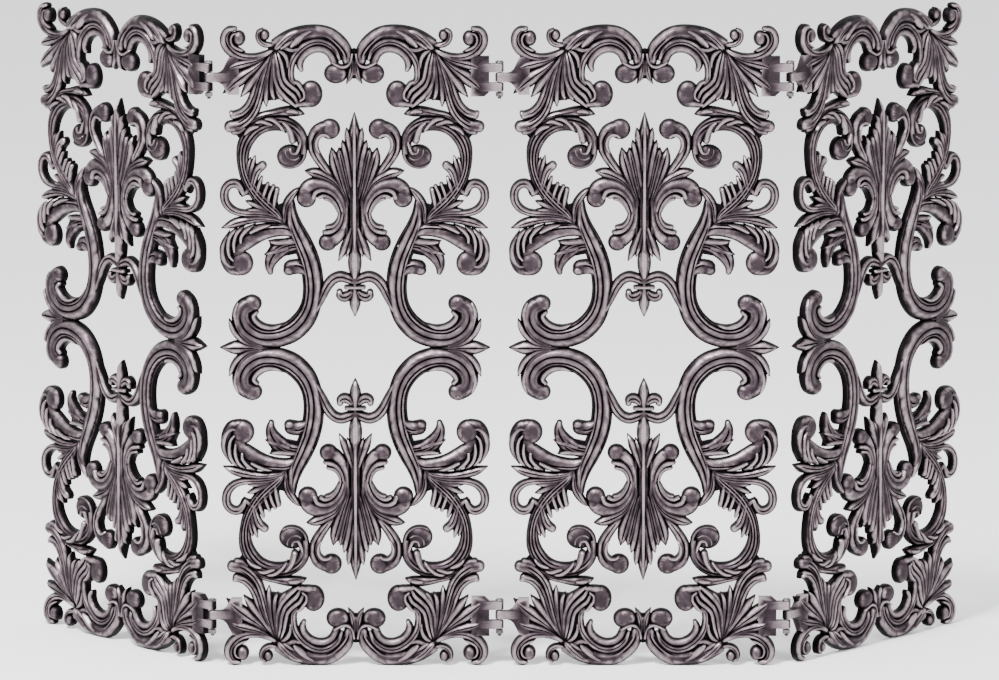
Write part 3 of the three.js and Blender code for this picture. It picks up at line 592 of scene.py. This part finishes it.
def corner_plate(side, middle, fork):
    """The flat plate that the lugs grow from: square-shouldered behind a fork, and flaring like a
    trumpet from a tongue. Its inward half, towards the mid-line, is cut back behind the leaf tips."""
    if fork:
        outline = [(-20, 26), (2, 26), (2, -17.6), (-4, -23), (-20, -23)]
    else:
        outline = [(-22, 27), (-10, 24.5), (-5.4, 15), (-2.6, 9.6), (1, 6.4), (5.5, 5.1), (5.5, -5.1),
                   (1, -6.4), (-2.6, -9.6), (-5.4, -15), (-9, -21), (-22, -21)]
    if middle < 0:
        outline = [(x, -z) for x, z in outline]
    n = len(outline)
    back = BACK - PLATE_INSET
    front = back - PLATE_THICKNESS
    verts = [(side * (plate_edge + x), y, middle + z) for y in (back, front) for x, z in outline]
    faces = [(i, (i + 1) % n, (i + 1) % n + n, i + n) for i in range(n)]
    faces += [tuple(range(n)), tuple(range(n, 2 * n))]
    return mesh_object("corner plate", verts, faces, smooth=False)


def hinge_side(side, fork):
    """The lugs on one edge of a panel, and the drills for their pin holes."""
    solids, drills = [], []
    for middle in (HINGE_HEIGHT, -HINGE_HEIGHT):
        solids.append(corner_plate(side, middle, fork))
        if fork:
            spans = ((middle + slot_half, middle + fork_half), (middle - fork_half, middle - slot_half))
        else:
            spans = ((middle - LUG_HEIGHT / 2, middle + LUG_HEIGHT / 2),)
        for z0, z1 in spans:
            solids.append(lug(side * (plate_edge - LUG_ROOT), side * pin_x, z0, z1))
        drills.append(drill("drill", side * pin_x, middle - fork_half - 5, middle + fork_half + 5))
    return solids, drills


# ---- geometry node trees ----
def new_tree(name, inputs):
    tree = bpy.data.node_groups.new(name, "GeometryNodeTree")
    for label, kind, value in inputs:
        socket = tree.interface.new_socket(label, in_out='INPUT', socket_type=kind)
        if value is not None:
            socket.default_value = value
    tree.interface.new_socket("Geometry", in_out='OUTPUT', socket_type='NodeSocketGeometry')
    return tree, tree.nodes.new("NodeGroupInput"), tree.nodes.new("NodeGroupOutput")


def set_inputs(modifier, tree, **values):
    for item in tree.interface.items_tree:
        if item.item_type == 'SOCKET' and item.in_out == 'INPUT' and item.name in values:
            modifier[item.identifier] = values[item.name]


def evaluated_mesh(obj, name):
    """The object's mesh with its modifiers applied, as a new plain object; the old one goes."""
    bpy.context.view_layer.update()
    graph = bpy.context.evaluated_depsgraph_get()
    mesh = bpy.data.meshes.new_from_object(obj.evaluated_get(graph))
    mesh.name = name
    bpy.data.objects.remove(obj)
    made = bpy.data.objects.new(name, mesh)
    bpy.context.scene.collection.objects.link(made)
    return made


def union_tree():
    """Joins every solid of a collection into one."""
    tree, inside, out = new_tree("Join solids", [("Solids", 'NodeSocketCollection', None)])
    info = tree.nodes.new("GeometryNodeCollectionInfo")
    info.inputs["Separate Children"].default_value = True
    join = tree.nodes.new("GeometryNodeMeshBoolean")
    join.operation = 'UNION'
    join.solver = 'MANIFOLD'
    realise = tree.nodes.new("GeometryNodeRealizeInstances")
    tree.links.new(inside.outputs["Solids"], info.inputs["Collection"])
    tree.links.new(info.outputs[0], join.inputs["Mesh 2"])
    tree.links.new(join.outputs["Mesh"], realise.inputs[0])
    tree.links.new(realise.outputs[0], out.inputs[0])
    return tree


def panel_tree():
    """Mirrors the drawn quarter into four, and joins the pieces on the two mirror lines to them."""
    tree, inside, out = new_tree("Panel from quarter", [
        ("Quarter", 'NodeSocketObject', None), ("Centre-line Pieces", 'NodeSocketObject', None),
        ("Mid-line Pieces", 'NodeSocketObject', None), ("Metal", 'NodeSocketMaterial', None)])
    join = tree.nodes.new("GeometryNodeMeshBoolean")
    join.operation = 'UNION'
    join.solver = 'MANIFOLD'
    mirrors = {"Quarter": ((1, 1), (-1, 1), (1, -1), (-1, -1)),
               "Centre-line Pieces": ((1, 1), (1, -1)), "Mid-line Pieces": ((1, 1), (-1, 1))}
    for label, flips in mirrors.items():
        info = tree.nodes.new("GeometryNodeObjectInfo")
        tree.links.new(inside.outputs[label], info.inputs["Object"])
        for sideways, upways in flips:
            turn = tree.nodes.new("GeometryNodeTransform")
            turn.inputs["Scale"].default_value = (sideways, 1, upways)
            tree.links.new(info.outputs["Geometry"], turn.inputs["Geometry"])
            if sideways * upways < 0:
                outward = tree.nodes.new("GeometryNodeFlipFaces")
                tree.links.new(turn.outputs[0], outward.inputs[0])
                turn = outward
            tree.links.new(turn.outputs[0], join.inputs["Mesh 2"])
    realise = tree.nodes.new("GeometryNodeRealizeInstances")
    metal = tree.nodes.new("GeometryNodeSetMaterial")
    tree.links.new(join.outputs["Mesh"], realise.inputs[0])
    tree.links.new(realise.outputs[0], metal.inputs["Geometry"])
    tree.links.new(inside.outputs["Metal"], metal.inputs["Material"])
    tree.links.new(metal.outputs[0], out.inputs[0])
    return tree


def joined(solids, name):
    """One closed solid from several that overlap."""
    bag = bpy.data.collections.new(name)
    for s in solids:
        bag.objects.link(s)
        bpy.context.scene.collection.objects.unlink(s)
    holder = bpy.data.objects.new(name + " holder", bpy.data.meshes.new(name))
    bpy.context.scene.collection.objects.link(holder)
    modifier = holder.modifiers.new("join", 'NODES')
    modifier.node_group = JOIN_TREE
    set_inputs(modifier, JOIN_TREE, Solids=bag)
    made = evaluated_mesh(holder, name)
    for s in list(bag.objects):
        bpy.data.objects.remove(s)
    bpy.data.collections.remove(bag)
    return made


JOIN_TREE = union_tree()
PANEL_TREE = panel_tree()


# ---- one casting, upright about its own centre, in millimetres ----
def drop_chips(mesh):
    """Removes the tiny loose chips that a join can leave beside the casting."""
    bm = bmesh.new()
    bm.from_mesh(mesh)
    waiting = set(bm.verts)
    parts = []
    while waiting:
        reached, to_visit = [], [waiting.pop()]
        while to_visit:
            vert = to_visit.pop()
            reached.append(vert)
            for edge in vert.link_edges:
                other = edge.other_vert(vert)
                if other in waiting:
                    waiting.remove(other)
                    to_visit.append(other)
        parts.append(reached)
    parts.sort(key=len)
    for part in parts[:-1]:
        bmesh.ops.delete(bm, geom=part, context='VERTS')
    bm.to_mesh(mesh)
    bm.free()


def soften_edges(mesh, degrees):
    """Smooth shading, with an edge left sharp where its faces meet at more than the angle."""
    bm = bmesh.new()
    bm.from_mesh(mesh)
    limit = math.radians(degrees)
    for edge in bm.edges:
        edge.smooth = len(edge.link_faces) == 2 and edge.calc_face_angle(0.0) < limit
    for face in bm.faces:
        face.smooth = True
    bm.to_mesh(mesh)
    bm.free()


FRONT_FROM = 2.0  # height above the back at which the carved front starts
RELIEF_SPAN = 6.0  # rise from a groove marked 0 to a ridge marked 1
BACK_RELIEF = 0.6  # the back is plain metal


def mark_relief(mesh):
    """Stores two values at each point: "relief", from 0 in a groove to 1 on a ridge, and "facing",
    1 where the surface looks straight forward or back and 0 on a side wall."""
    count = len(mesh.vertices)
    co = np.empty(count * 3)
    mesh.vertices.foreach_get("co", co)
    co = co.reshape(-1, 3)
    height = BACK - co[:, 1]
    cell, spread = 1.0, 4  # the mean height is taken over a square nine cells wide
    low = co[:, (0, 2)].min(axis=0) - cell * spread * 2
    at = ((co[:, (0, 2)] - low) / cell).astype(int)
    size = at.max(axis=0) + spread * 2 + 2
    total, weight = np.zeros(size), np.zeros(size)
    front = height > FRONT_FROM
    np.add.at(total, (at[front, 0], at[front, 1]), height[front])
    np.add.at(weight, (at[front, 0], at[front, 1]), 1.0)
    total = np.where(weight > 0, total / np.maximum(weight, 1), 0)
    weight = (weight > 0).astype(float)
    for axis in (0, 1):
        for grid in (total, weight):
            run = np.cumsum(grid, axis=axis)
            grid[...] = np.roll(run, -spread, axis=axis) - np.roll(run, spread + 1, axis=axis)
    mean = total[at[:, 0], at[:, 1]] / np.maximum(weight[at[:, 0], at[:, 1]], 1e-6)
    relief = np.clip(0.5 + (height - mean) / RELIEF_SPAN, 0, 1)
    relief[height < FRONT_FROM] = BACK_RELIEF
    normal = np.empty(count * 3)
    mesh.vertices.foreach_get("normal", normal)
    facing = np.abs(normal.reshape(-1, 3)[:, 1])
    # relief and facing mask the wash and rubbed colours: real patina and wear, and also painted shade in
    # grooves and on side walls and a painted highlight on ridges
    for label, values in (("relief", relief), ("facing", facing)):
        layer = mesh.attributes.new(label, 'FLOAT', 'POINT')
        layer.data.foreach_set("value", values.astype(np.float32))


def ornament(metal):
    quarter = []
    for part in (crest, corner, stem, side_scroll, ear_and_shoulder, main_scroll, fleur):
        quarter += list(part())
    pieces = {"Quarter": joined(quarter, "quarter"),
              "Centre-line Pieces": joined(list(centre_line()), "centre line"),
              "Mid-line Pieces": joined(list(mid_line()), "mid line")}
    holder = bpy.data.objects.new("panel holder", bpy.data.meshes.new("panel"))
    bpy.context.scene.collection.objects.link(holder)
    modifier = holder.modifiers.new("panel", 'NODES')
    modifier.node_group = PANEL_TREE
    set_inputs(modifier, PANEL_TREE, Metal=metal, **pieces)
    made = evaluated_mesh(holder, "ornament")
    drop_chips(made.data)
    for piece in pieces.values():
        bpy.data.objects.remove(piece)
    return made


def boolean(obj, other, operation):
    modifier = obj.modifiers.new("cut", 'BOOLEAN')
    modifier.operation = operation
    modifier.solver = 'MANIFOLD'
    modifier.object = other
    made = evaluated_mesh(obj, obj.name)
    bpy.data.objects.remove(other)
    return made


def floor_cut():
    """What the feet lose where they are ground flat."""
    bm = bmesh.new()
    bmesh.ops.create_cube(bm, size=1, matrix=Matrix.Translation((0, 0, -PANEL_HEIGHT / 2 - 20))
                          @ Matrix.Diagonal((600, 100, 40, 1)))
    mesh = bpy.data.meshes.new("floor cut")
    bm.to_mesh(mesh)
    bm.free()
    made = bpy.data.objects.new("floor cut", mesh)
    bpy.context.scene.collection.objects.link(made)
    return made


def casting(name, plain, tongue_left, fork_right, centre_x, hinge_x, turn):
    """A whole casting at its place: turned about the hinge at hinge_x, in the row's frame."""
    solids, drills = [], []
    for wanted, side, fork in ((tongue_left, -1, False), (fork_right, 1, True)):
        if wanted:
            more, holes = hinge_side(side, fork)
            solids += more
            drills += holes
    body = bpy.data.objects.new(name, plain.data.copy())
    bpy.context.scene.collection.objects.link(body)
    body = joined([body] + solids, name)
    for hole in drills:
        body = boolean(body, hole, 'DIFFERENCE')
    body = boolean(body, floor_cut(), 'DIFFERENCE')
    body.name = name
    soften_edges(body.data, 38)
    mark_relief(body.data)
    place = (Matrix.Translation(HINGE_LINE + Vector((hinge_x * MM, 0, 0)))
             @ Matrix.Rotation(turn, 4, 'Z') @ Matrix.Translation(((centre_x - hinge_x) * MM, 0, 0))
             @ Matrix.Scale(MM, 4))
    body.data.transform(place)
    body.data.materials.clear()
    body.data.materials.append(ANTIQUE)
    return body


# ---- finishes ----
def shader_group(name, inputs, outputs):
    tree = bpy.data.node_groups.new(name, "ShaderNodeTree")
    for label, kind, value in inputs:
        socket = tree.interface.new_socket(label, in_out='INPUT', socket_type=kind)
        socket.default_value = value
    for label, kind in outputs:
        tree.interface.new_socket(label, in_out='OUTPUT', socket_type=kind)
    return tree, tree.nodes.new("NodeGroupInput"), tree.nodes.new("NodeGroupOutput")


def link(tree, a, b):
    tree.links.new(a, b)


def node(tree, kind, links=None, **settings):
    made = tree.nodes.new(kind)
    for key, value in settings.items():
        setattr(made, key, value)
    for key, value in (links or {}).items():
        if hasattr(value, "is_linked"):
            tree.links.new(value, made.inputs[key])
        else:
            made.inputs[key].default_value = value
    return made


def antique_wash_and_painted_light():
    """The dark wash that stays in the hollows, which is also painted shade in the grooves and on the side
    walls, and the ridges that wear has rubbed bright, which is also a painted highlight.
    """
    tree, inside, out = shader_group("Antique wash", [
        ("Relief", 'NodeSocketFloat', 0.5), ("Facing", 'NodeSocketFloat', 1.0),
        ("Patch Scale", 'NodeSocketFloat', 60.0),
        ("Wash", 'NodeSocketColor', (0.02, 0.017, 0.019, 1)),
        ("Metal", 'NodeSocketColor', (0.16, 0.13, 0.14, 1)),
        ("Rubbed", 'NodeSocketColor', (0.35, 0.31, 0.31, 1))],
        [("Color", 'NodeSocketColor'), ("Rub Mask", 'NodeSocketFloat')])
    coords = node(tree, "ShaderNodeTexCoord")
    patch = node(tree, "ShaderNodeTexNoise", {"Vector": coords.outputs["Object"],
        "Scale": inside.outputs["Patch Scale"], "Detail": 5.0, "Roughness": 0.6})
    fine = node(tree, "ShaderNodeTexNoise", {"Vector": coords.outputs["Object"], "Scale": 420.0,
        "Detail": 3.0, "Roughness": 0.65})
    wobble = node(tree, "ShaderNodeMath", {0: patch.outputs["Fac"], 1: 0.5}, operation='SUBTRACT')
    slow_wobble = node(tree, "ShaderNodeMath", {0: wobble.outputs[0], 1: 0.35}, operation='MULTIPLY')
    moved = node(tree, "ShaderNodeMath", {0: inside.outputs["Relief"], 1: slow_wobble.outputs[0]},
        operation='ADD')
    # side walls, where facing is low, get the wash colour: painted shade
    open_face = node(tree, "ShaderNodeMapRange", {"Value": inside.outputs["Facing"], "From Min": 0.34,
        "From Max": 0.90}, interpolation_type='SMOOTHSTEP')
    raised = node(tree, "ShaderNodeMapRange", {"Value": moved.outputs[0], "From Min": 0.32,
        "From Max": 0.62}, interpolation_type='SMOOTHSTEP')
    clear_of_wash_and_shade = node(tree, "ShaderNodeMath", {0: raised.outputs[0], 1: open_face.outputs[0]},
        operation='MULTIPLY')
    # the highest ridges get the rubbed colour: real wear and also a painted highlight
    rub_and_highlight = node(tree, "ShaderNodeMapRange", {"Value": moved.outputs[0], "From Min": 0.53,
        "From Max": 0.95}, interpolation_type='SMOOTHSTEP')
    grain = node(tree, "ShaderNodeMapRange", {"Value": fine.outputs["Fac"], "From Min": 0.3,
        "From Max": 0.7, "To Min": 0.72, "To Max": 1.0})
    grainy_rub_and_highlight = node(tree, "ShaderNodeMath", {0: rub_and_highlight.outputs[0], 1: grain.outputs[0]}, operation='MULTIPLY')
    # the wash colour in grooves and on side walls is real patina and also painted shade
    base = node(tree, "ShaderNodeMix", {0: clear_of_wash_and_shade.outputs[0], 6: inside.outputs["Wash"],
        7: inside.outputs["Metal"]}, data_type='RGBA')
    full = node(tree, "ShaderNodeMix", {0: grainy_rub_and_highlight.outputs[0], 6: base.outputs[2],
        7: inside.outputs["Rubbed"]}, data_type='RGBA')
    link(tree, full.outputs[2], out.inputs["Color"])
    link(tree, grainy_rub_and_highlight.outputs[0], out.inputs["Rub Mask"])
    return tree


def cast_skin():
    """The sand-cast skin: a fine pebbling and a slow unevenness."""
    tree, inside, out = shader_group("Cast skin", [("Strength", 'NodeSocketFloat', 0.3),
        ("Pebble Scale", 'NodeSocketFloat', 900.0)], [("Normal", 'NodeSocketVector')])
    coords = node(tree, "ShaderNodeTexCoord")
    pebble = node(tree, "ShaderNodeTexNoise", {"Vector": coords.outputs["Object"],
        "Scale": inside.outputs["Pebble Scale"], "Detail": 4.0, "Roughness": 0.6})
    slow = node(tree, "ShaderNodeTexNoise", {"Vector": coords.outputs["Object"], "Scale": 130.0,
        "Detail": 2.0})
    mixed = node(tree, "ShaderNodeMath", {0: slow.outputs["Fac"], 1: 2.2}, operation='MULTIPLY')
    total = node(tree, "ShaderNodeMath", {0: pebble.outputs["Fac"], 1: mixed.outputs[0]}, operation='ADD')
    bump = node(tree, "ShaderNodeBump", {"Strength": inside.outputs["Strength"], "Distance": 0.0008,
        "Height": total.outputs[0]})
    link(tree, bump.outputs[0], out.inputs["Normal"])
    return tree


WASH_AND_PAINTED_LIGHT_GROUP = antique_wash_and_painted_light()
SKIN_GROUP = cast_skin()


def material(name):
    made = bpy.data.materials.new(name)
    made.use_nodes = True
    tree = made.node_tree
    return made, tree, tree.nodes["Principled BSDF"]


def antique_casting():
    made, tree, shader = material("antique_casting")
    relief = node(tree, "ShaderNodeAttribute", attribute_name="relief")
    wash = node(tree, "ShaderNodeGroup", node_tree=WASH_AND_PAINTED_LIGHT_GROUP)
    link(tree, relief.outputs["Fac"], wash.inputs["Relief"])
    facing = node(tree, "ShaderNodeAttribute", attribute_name="facing")
    link(tree, facing.outputs["Fac"], wash.inputs["Facing"])
    # near-black wash: patina in the hollows, and painted shade in grooves and on side walls
    wash.inputs["Wash"].default_value = (0.0035, 0.0028, 0.0034, 1)
    wash.inputs["Metal"].default_value = (0.043, 0.031, 0.038, 1)
    # rubbed colour: worn metal, and also a painted highlight on the ridges
    wash.inputs["Rubbed"].default_value = (0.31, 0.255, 0.275, 1)
    skin = node(tree, "ShaderNodeGroup", node_tree=SKIN_GROUP)
    rough = node(tree, "ShaderNodeMapRange", {"Value": wash.outputs["Rub Mask"], "To Min": 0.50,
        "To Max": 0.38})
    link(tree, wash.outputs["Color"], shader.inputs["Base Color"])
    link(tree, rough.outputs[0], shader.inputs["Roughness"])
    link(tree, skin.outputs["Normal"], shader.inputs["Normal"])
    shader.inputs["Metallic"].default_value = 0.94
    return made


ANTIQUE = antique_casting()
plain = ornament(ANTIQUE)
CASTINGS = (
    ("left_wing", False, True, -pitch_mm - pin_x, -pitch_mm, -WING_ANGLE),
    ("centre_left", True, True, -pin_x, 0, 0),
    ("centre_right", True, True, pin_x, 0, 0),
    ("right_wing", True, False, pitch_mm + pin_x, pitch_mm, WING_ANGLE),
)
for name, tongue_left, fork_right, centre_x, hinge_x, turn in CASTINGS:
    piece = casting(name + "_relief", plain, tongue_left, fork_right, centre_x, hinge_x, turn)
    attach(piece, name + "_panel")
    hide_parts(name + "_casting")
bpy.data.objects.remove(plain)

# ---- hinge screws and nuts ----
def turned(name, profile, sides=36):
    """A solid of revolution about Z from (radius, height) pairs, closed at both ends."""
    verts, faces = [], []
    for radius, z in profile:
        for k in range(sides):
            a = 2 * math.pi * k / sides
            verts.append((radius * math.cos(a), radius * math.sin(a), z))
    for t in range(len(profile) - 1):
        for k in range(sides):
            a, b = t * sides + k, t * sides + (k + 1) % sides
            faces.append((a, b, b + sides, a + sides))
    faces.append(tuple(range(sides)))
    faces.append(tuple(range((len(profile) - 1) * sides, len(profile) * sides)))
    return mesh_object(name, verts, faces)


def block(name, x0, x1, y0, y1, z0, z1):
    verts = [(x, y, z) for x in (x0, x1) for y in (y0, y1) for z in (z0, z1)]
    faces = [(0, 1, 3, 2), (4, 6, 7, 5), (0, 4, 5, 1), (2, 3, 7, 6), (0, 2, 6, 4), (1, 5, 7, 3)]
    return mesh_object(name, verts, faces, smooth=False)


def screw():
    """A slotted screw with a low domed head, plain in the lugs and threaded below them."""
    seat = fork_half + SEAT_GAP
    end = -(fork_half + NUT_SLACK + NUT_HEIGHT + THREAD_PAST_NUT)
    profile = [(0.8, end), (SCREW_RADIUS - 0.7, end), (SCREW_RADIUS - 0.4, end + 0.3)]
    z = end + 0.5
    while z < -fork_half - 0.6:
        profile += [(SCREW_RADIUS - 0.36, z), (SCREW_RADIUS, z + THREAD_PITCH * 0.45),
                    (SCREW_RADIUS, z + THREAD_PITCH * 0.55)]
        z += THREAD_PITCH
    profile += [(SCREW_RADIUS, z), (SCREW_RADIUS, seat), (HEAD_RADIUS - 0.35, seat),
                (HEAD_RADIUS, seat + 0.4), (HEAD_RADIUS, seat + 0.9)]
    for turn in (18, 34, 50, 66, 80):
        a = math.radians(turn)
        profile.append((HEAD_RADIUS * math.cos(a), seat + 0.9 + (HEAD_HEIGHT - 0.9) * math.sin(a)))
    made = turned("screw", profile)
    slot = block("slot", -SLOT_WIDTH / 2, SLOT_WIDTH / 2, -9, 9, seat + HEAD_HEIGHT - SLOT_DEPTH, seat + 9)
    made = boolean(made, slot, 'DIFFERENCE')
    soften_edges(made.data, 34)
    return made


def nut():
    """A hexagon nut with its corners turned off at both faces."""
    top = -(fork_half + NUT_SLACK)
    corner = NUT_ACROSS_FLATS / math.sqrt(3)
    hexagon = turned("nut", [(corner, top - NUT_HEIGHT), (corner, top)], sides=6)
    flat = NUT_ACROSS_FLATS / 2 * 0.97
    cone = turned("chamfer", [(flat, top - NUT_HEIGHT - 0.01), (corner + 0.4, top - NUT_HEIGHT + 0.75),
                              (corner + 0.4, top - 0.75), (flat, top + 0.01)], sides=48)
    made = boolean(hexagon, cone, 'INTERSECT')
    bore_radius = SCREW_RADIUS + SEAT_GAP
    bore = turned("bore", [(bore_radius, top - NUT_HEIGHT - 2), (bore_radius, top + 2)])
    made = boolean(made, bore, 'DIFFERENCE')
    made.data.transform(Matrix.Rotation(math.radians(30), 4, 'Z'))
    soften_edges(made.data, 20)
    return made


def pair_tree():
    """Sets one piece at the upper and the lower hinge of a joint."""
    tree, inside, out = new_tree("Upper and lower", [("Piece", 'NodeSocketObject', None),
        ("Half Distance", 'NodeSocketFloat', 333.0), ("Metal", 'NodeSocketMaterial', None)])
    span = tree.nodes.new("ShaderNodeCombineXYZ")
    down = tree.nodes.new("ShaderNodeMath")
    down.operation = 'MULTIPLY'
    down.inputs[1].default_value = -1
    start = tree.nodes.new("ShaderNodeCombineXYZ")
    line = tree.nodes.new("GeometryNodeMeshLine")
    line.mode = 'END_POINTS'
    line.inputs["Count"].default_value = 2
    info = tree.nodes.new("GeometryNodeObjectInfo")
    put = tree.nodes.new("GeometryNodeInstanceOnPoints")
    realise = tree.nodes.new("GeometryNodeRealizeInstances")
    metal = tree.nodes.new("GeometryNodeSetMaterial")
    tree.links.new(inside.outputs["Half Distance"], down.inputs[0])
    tree.links.new(down.outputs[0], start.inputs["Z"])
    tree.links.new(inside.outputs["Half Distance"], span.inputs["Z"])
    tree.links.new(start.outputs[0], line.inputs["Start Location"])
    tree.links.new(span.outputs[0], line.inputs["Offset"])
    tree.links.new(inside.outputs["Piece"], info.inputs["Object"])
    tree.links.new(line.outputs[0], put.inputs["Points"])
    tree.links.new(info.outputs["Geometry"], put.inputs["Instance"])
    tree.links.new(put.outputs[0], realise.inputs[0])
    tree.links.new(realise.outputs[0], metal.inputs["Geometry"])
    tree.links.new(inside.outputs["Metal"], metal.inputs["Material"])
    tree.links.new(metal.outputs[0], out.inputs[0])
    return tree


def hinge_hardware():
    made, tree, shader = material("hinge_hardware")
    coords = node(tree, "ShaderNodeTexCoord")
    stain = node(tree, "ShaderNodeTexNoise", {"Vector": coords.outputs["Object"], "Scale": 220.0,
        "Detail": 4.0, "Roughness": 0.6})
    tone = node(tree, "ShaderNodeMapRange", {"Value": stain.outputs["Fac"], "From Min": 0.35,
        "From Max": 0.68})
    steel = node(tree, "ShaderNodeMix", {0: tone.outputs[0], 6: (0.045, 0.040, 0.044, 1),
        7: (0.22, 0.20, 0.21, 1)}, data_type='RGBA')
    rough = node(tree, "ShaderNodeMapRange", {"Value": stain.outputs["Fac"], "To Min": 0.5,
        "To Max": 0.28})
    skin = node(tree, "ShaderNodeGroup", node_tree=SKIN_GROUP)
    skin.inputs["Strength"].default_value = 0.12
    skin.inputs["Pebble Scale"].default_value = 1600.0
    link(tree, steel.outputs[2], shader.inputs["Base Color"])
    link(tree, rough.outputs[0], shader.inputs["Roughness"])
    link(tree, skin.outputs["Normal"], shader.inputs["Normal"])
    shader.inputs["Metallic"].default_value = 0.9
    return made


STEEL = hinge_hardware()
PAIR_TREE = pair_tree()
patterns = {"screw": screw(), "nut": nut()}
for side, x, body in (("left", -pitch_mm, "left_wing_panel"), ("middle", 0, "centre_left_panel"),
                      ("right", pitch_mm, "centre_right_panel")):
    for kind, pattern in patterns.items():
        holder = bpy.data.objects.new("hinge holder", bpy.data.meshes.new("hinge holder"))
        bpy.context.scene.collection.objects.link(holder)
        modifier = holder.modifiers.new("pair", 'NODES')
        modifier.node_group = PAIR_TREE
        set_inputs(modifier, PAIR_TREE, **{"Piece": pattern, "Metal": STEEL,
                   "Half Distance": HINGE_HEIGHT})
        piece = evaluated_mesh(holder, f"{side}_hinge_{kind}s")
        piece.data.transform(Matrix.Translation(HINGE_LINE + Vector((x * MM, 0, 0))) @ Matrix.Scale(MM, 4))
        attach(piece, body)
        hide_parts(f"{side}_upper_hinge_{kind}", f"{side}_lower_hinge_{kind}")
for pattern in patterns.values():
    bpy.data.objects.remove(pattern)

# ---- floor, light and camera ----
CAMERA_LENS = 245.4  # mm, on a sensor 36 mm wide
CAMERA_DISTANCE = 8.207  # in front of the middle hinge
CAMERA_RISE = 1.384  # above its mid-height
CAMERA_DOWNWARD = 9.508  # degrees
FLOOR_REACH = 40.0


def stage():
    white = bpy.data.materials.new("studio floor")
    white.use_nodes = True
    shader = white.node_tree.nodes["Principled BSDF"]
    shader.inputs["Base Color"].default_value = (0.97, 0.97, 0.97, 1)
    shader.inputs["Roughness"].default_value = 0.9
    mesh = bpy.data.meshes.new("floor")
    r = FLOOR_REACH
    mesh.from_pydata([(-r, -r, 0), (r, -r, 0), (r, r, 0), (-r, r, 0)], [], [(0, 1, 2, 3)])
    mesh.materials.append(white)
    floor = bpy.data.objects.new("floor", mesh)
    bpy.context.scene.collection.objects.link(floor)
    world = bpy.data.worlds.new("studio")
    bpy.context.scene.world = world
    world.use_nodes = True
    world.node_tree.nodes["Background"].inputs[0].default_value = (1, 1, 1, 1)
    world.node_tree.nodes["Background"].inputs[1].default_value = 1.5


def area_light(name, place, aim, size, power):
    light = bpy.data.lights.new(name, 'AREA')
    light.energy = power
    light.size = size
    made = bpy.data.objects.new(name, light)
    made.location = place
    made.rotation_euler = (Vector(aim) - Vector(place)).to_track_quat('-Z', 'Y').to_euler()
    bpy.context.scene.collection.objects.link(made)


def camera():
    data = bpy.data.cameras.new("camera")
    made = bpy.data.objects.new("camera", data)
    bpy.context.scene.collection.objects.link(made)
    data.sensor_width = 36
    data.lens = CAMERA_LENS
    data.clip_start = 0.1
    data.clip_end = 80
    made.location = HINGE_LINE + Vector((0, -CAMERA_DISTANCE, CAMERA_RISE))
    made.rotation_euler = (math.radians(90 - CAMERA_DOWNWARD), 0, 0)
    bpy.context.scene.camera = made


stage()
camera()
area_light("key", (-1.5, -2.6, 3.9), (0, 0, 0.4), 1.1, 520)
area_light("fill", (2.8, -3.2, 1.6), (0, 0, 0.4), 1.6, 90)
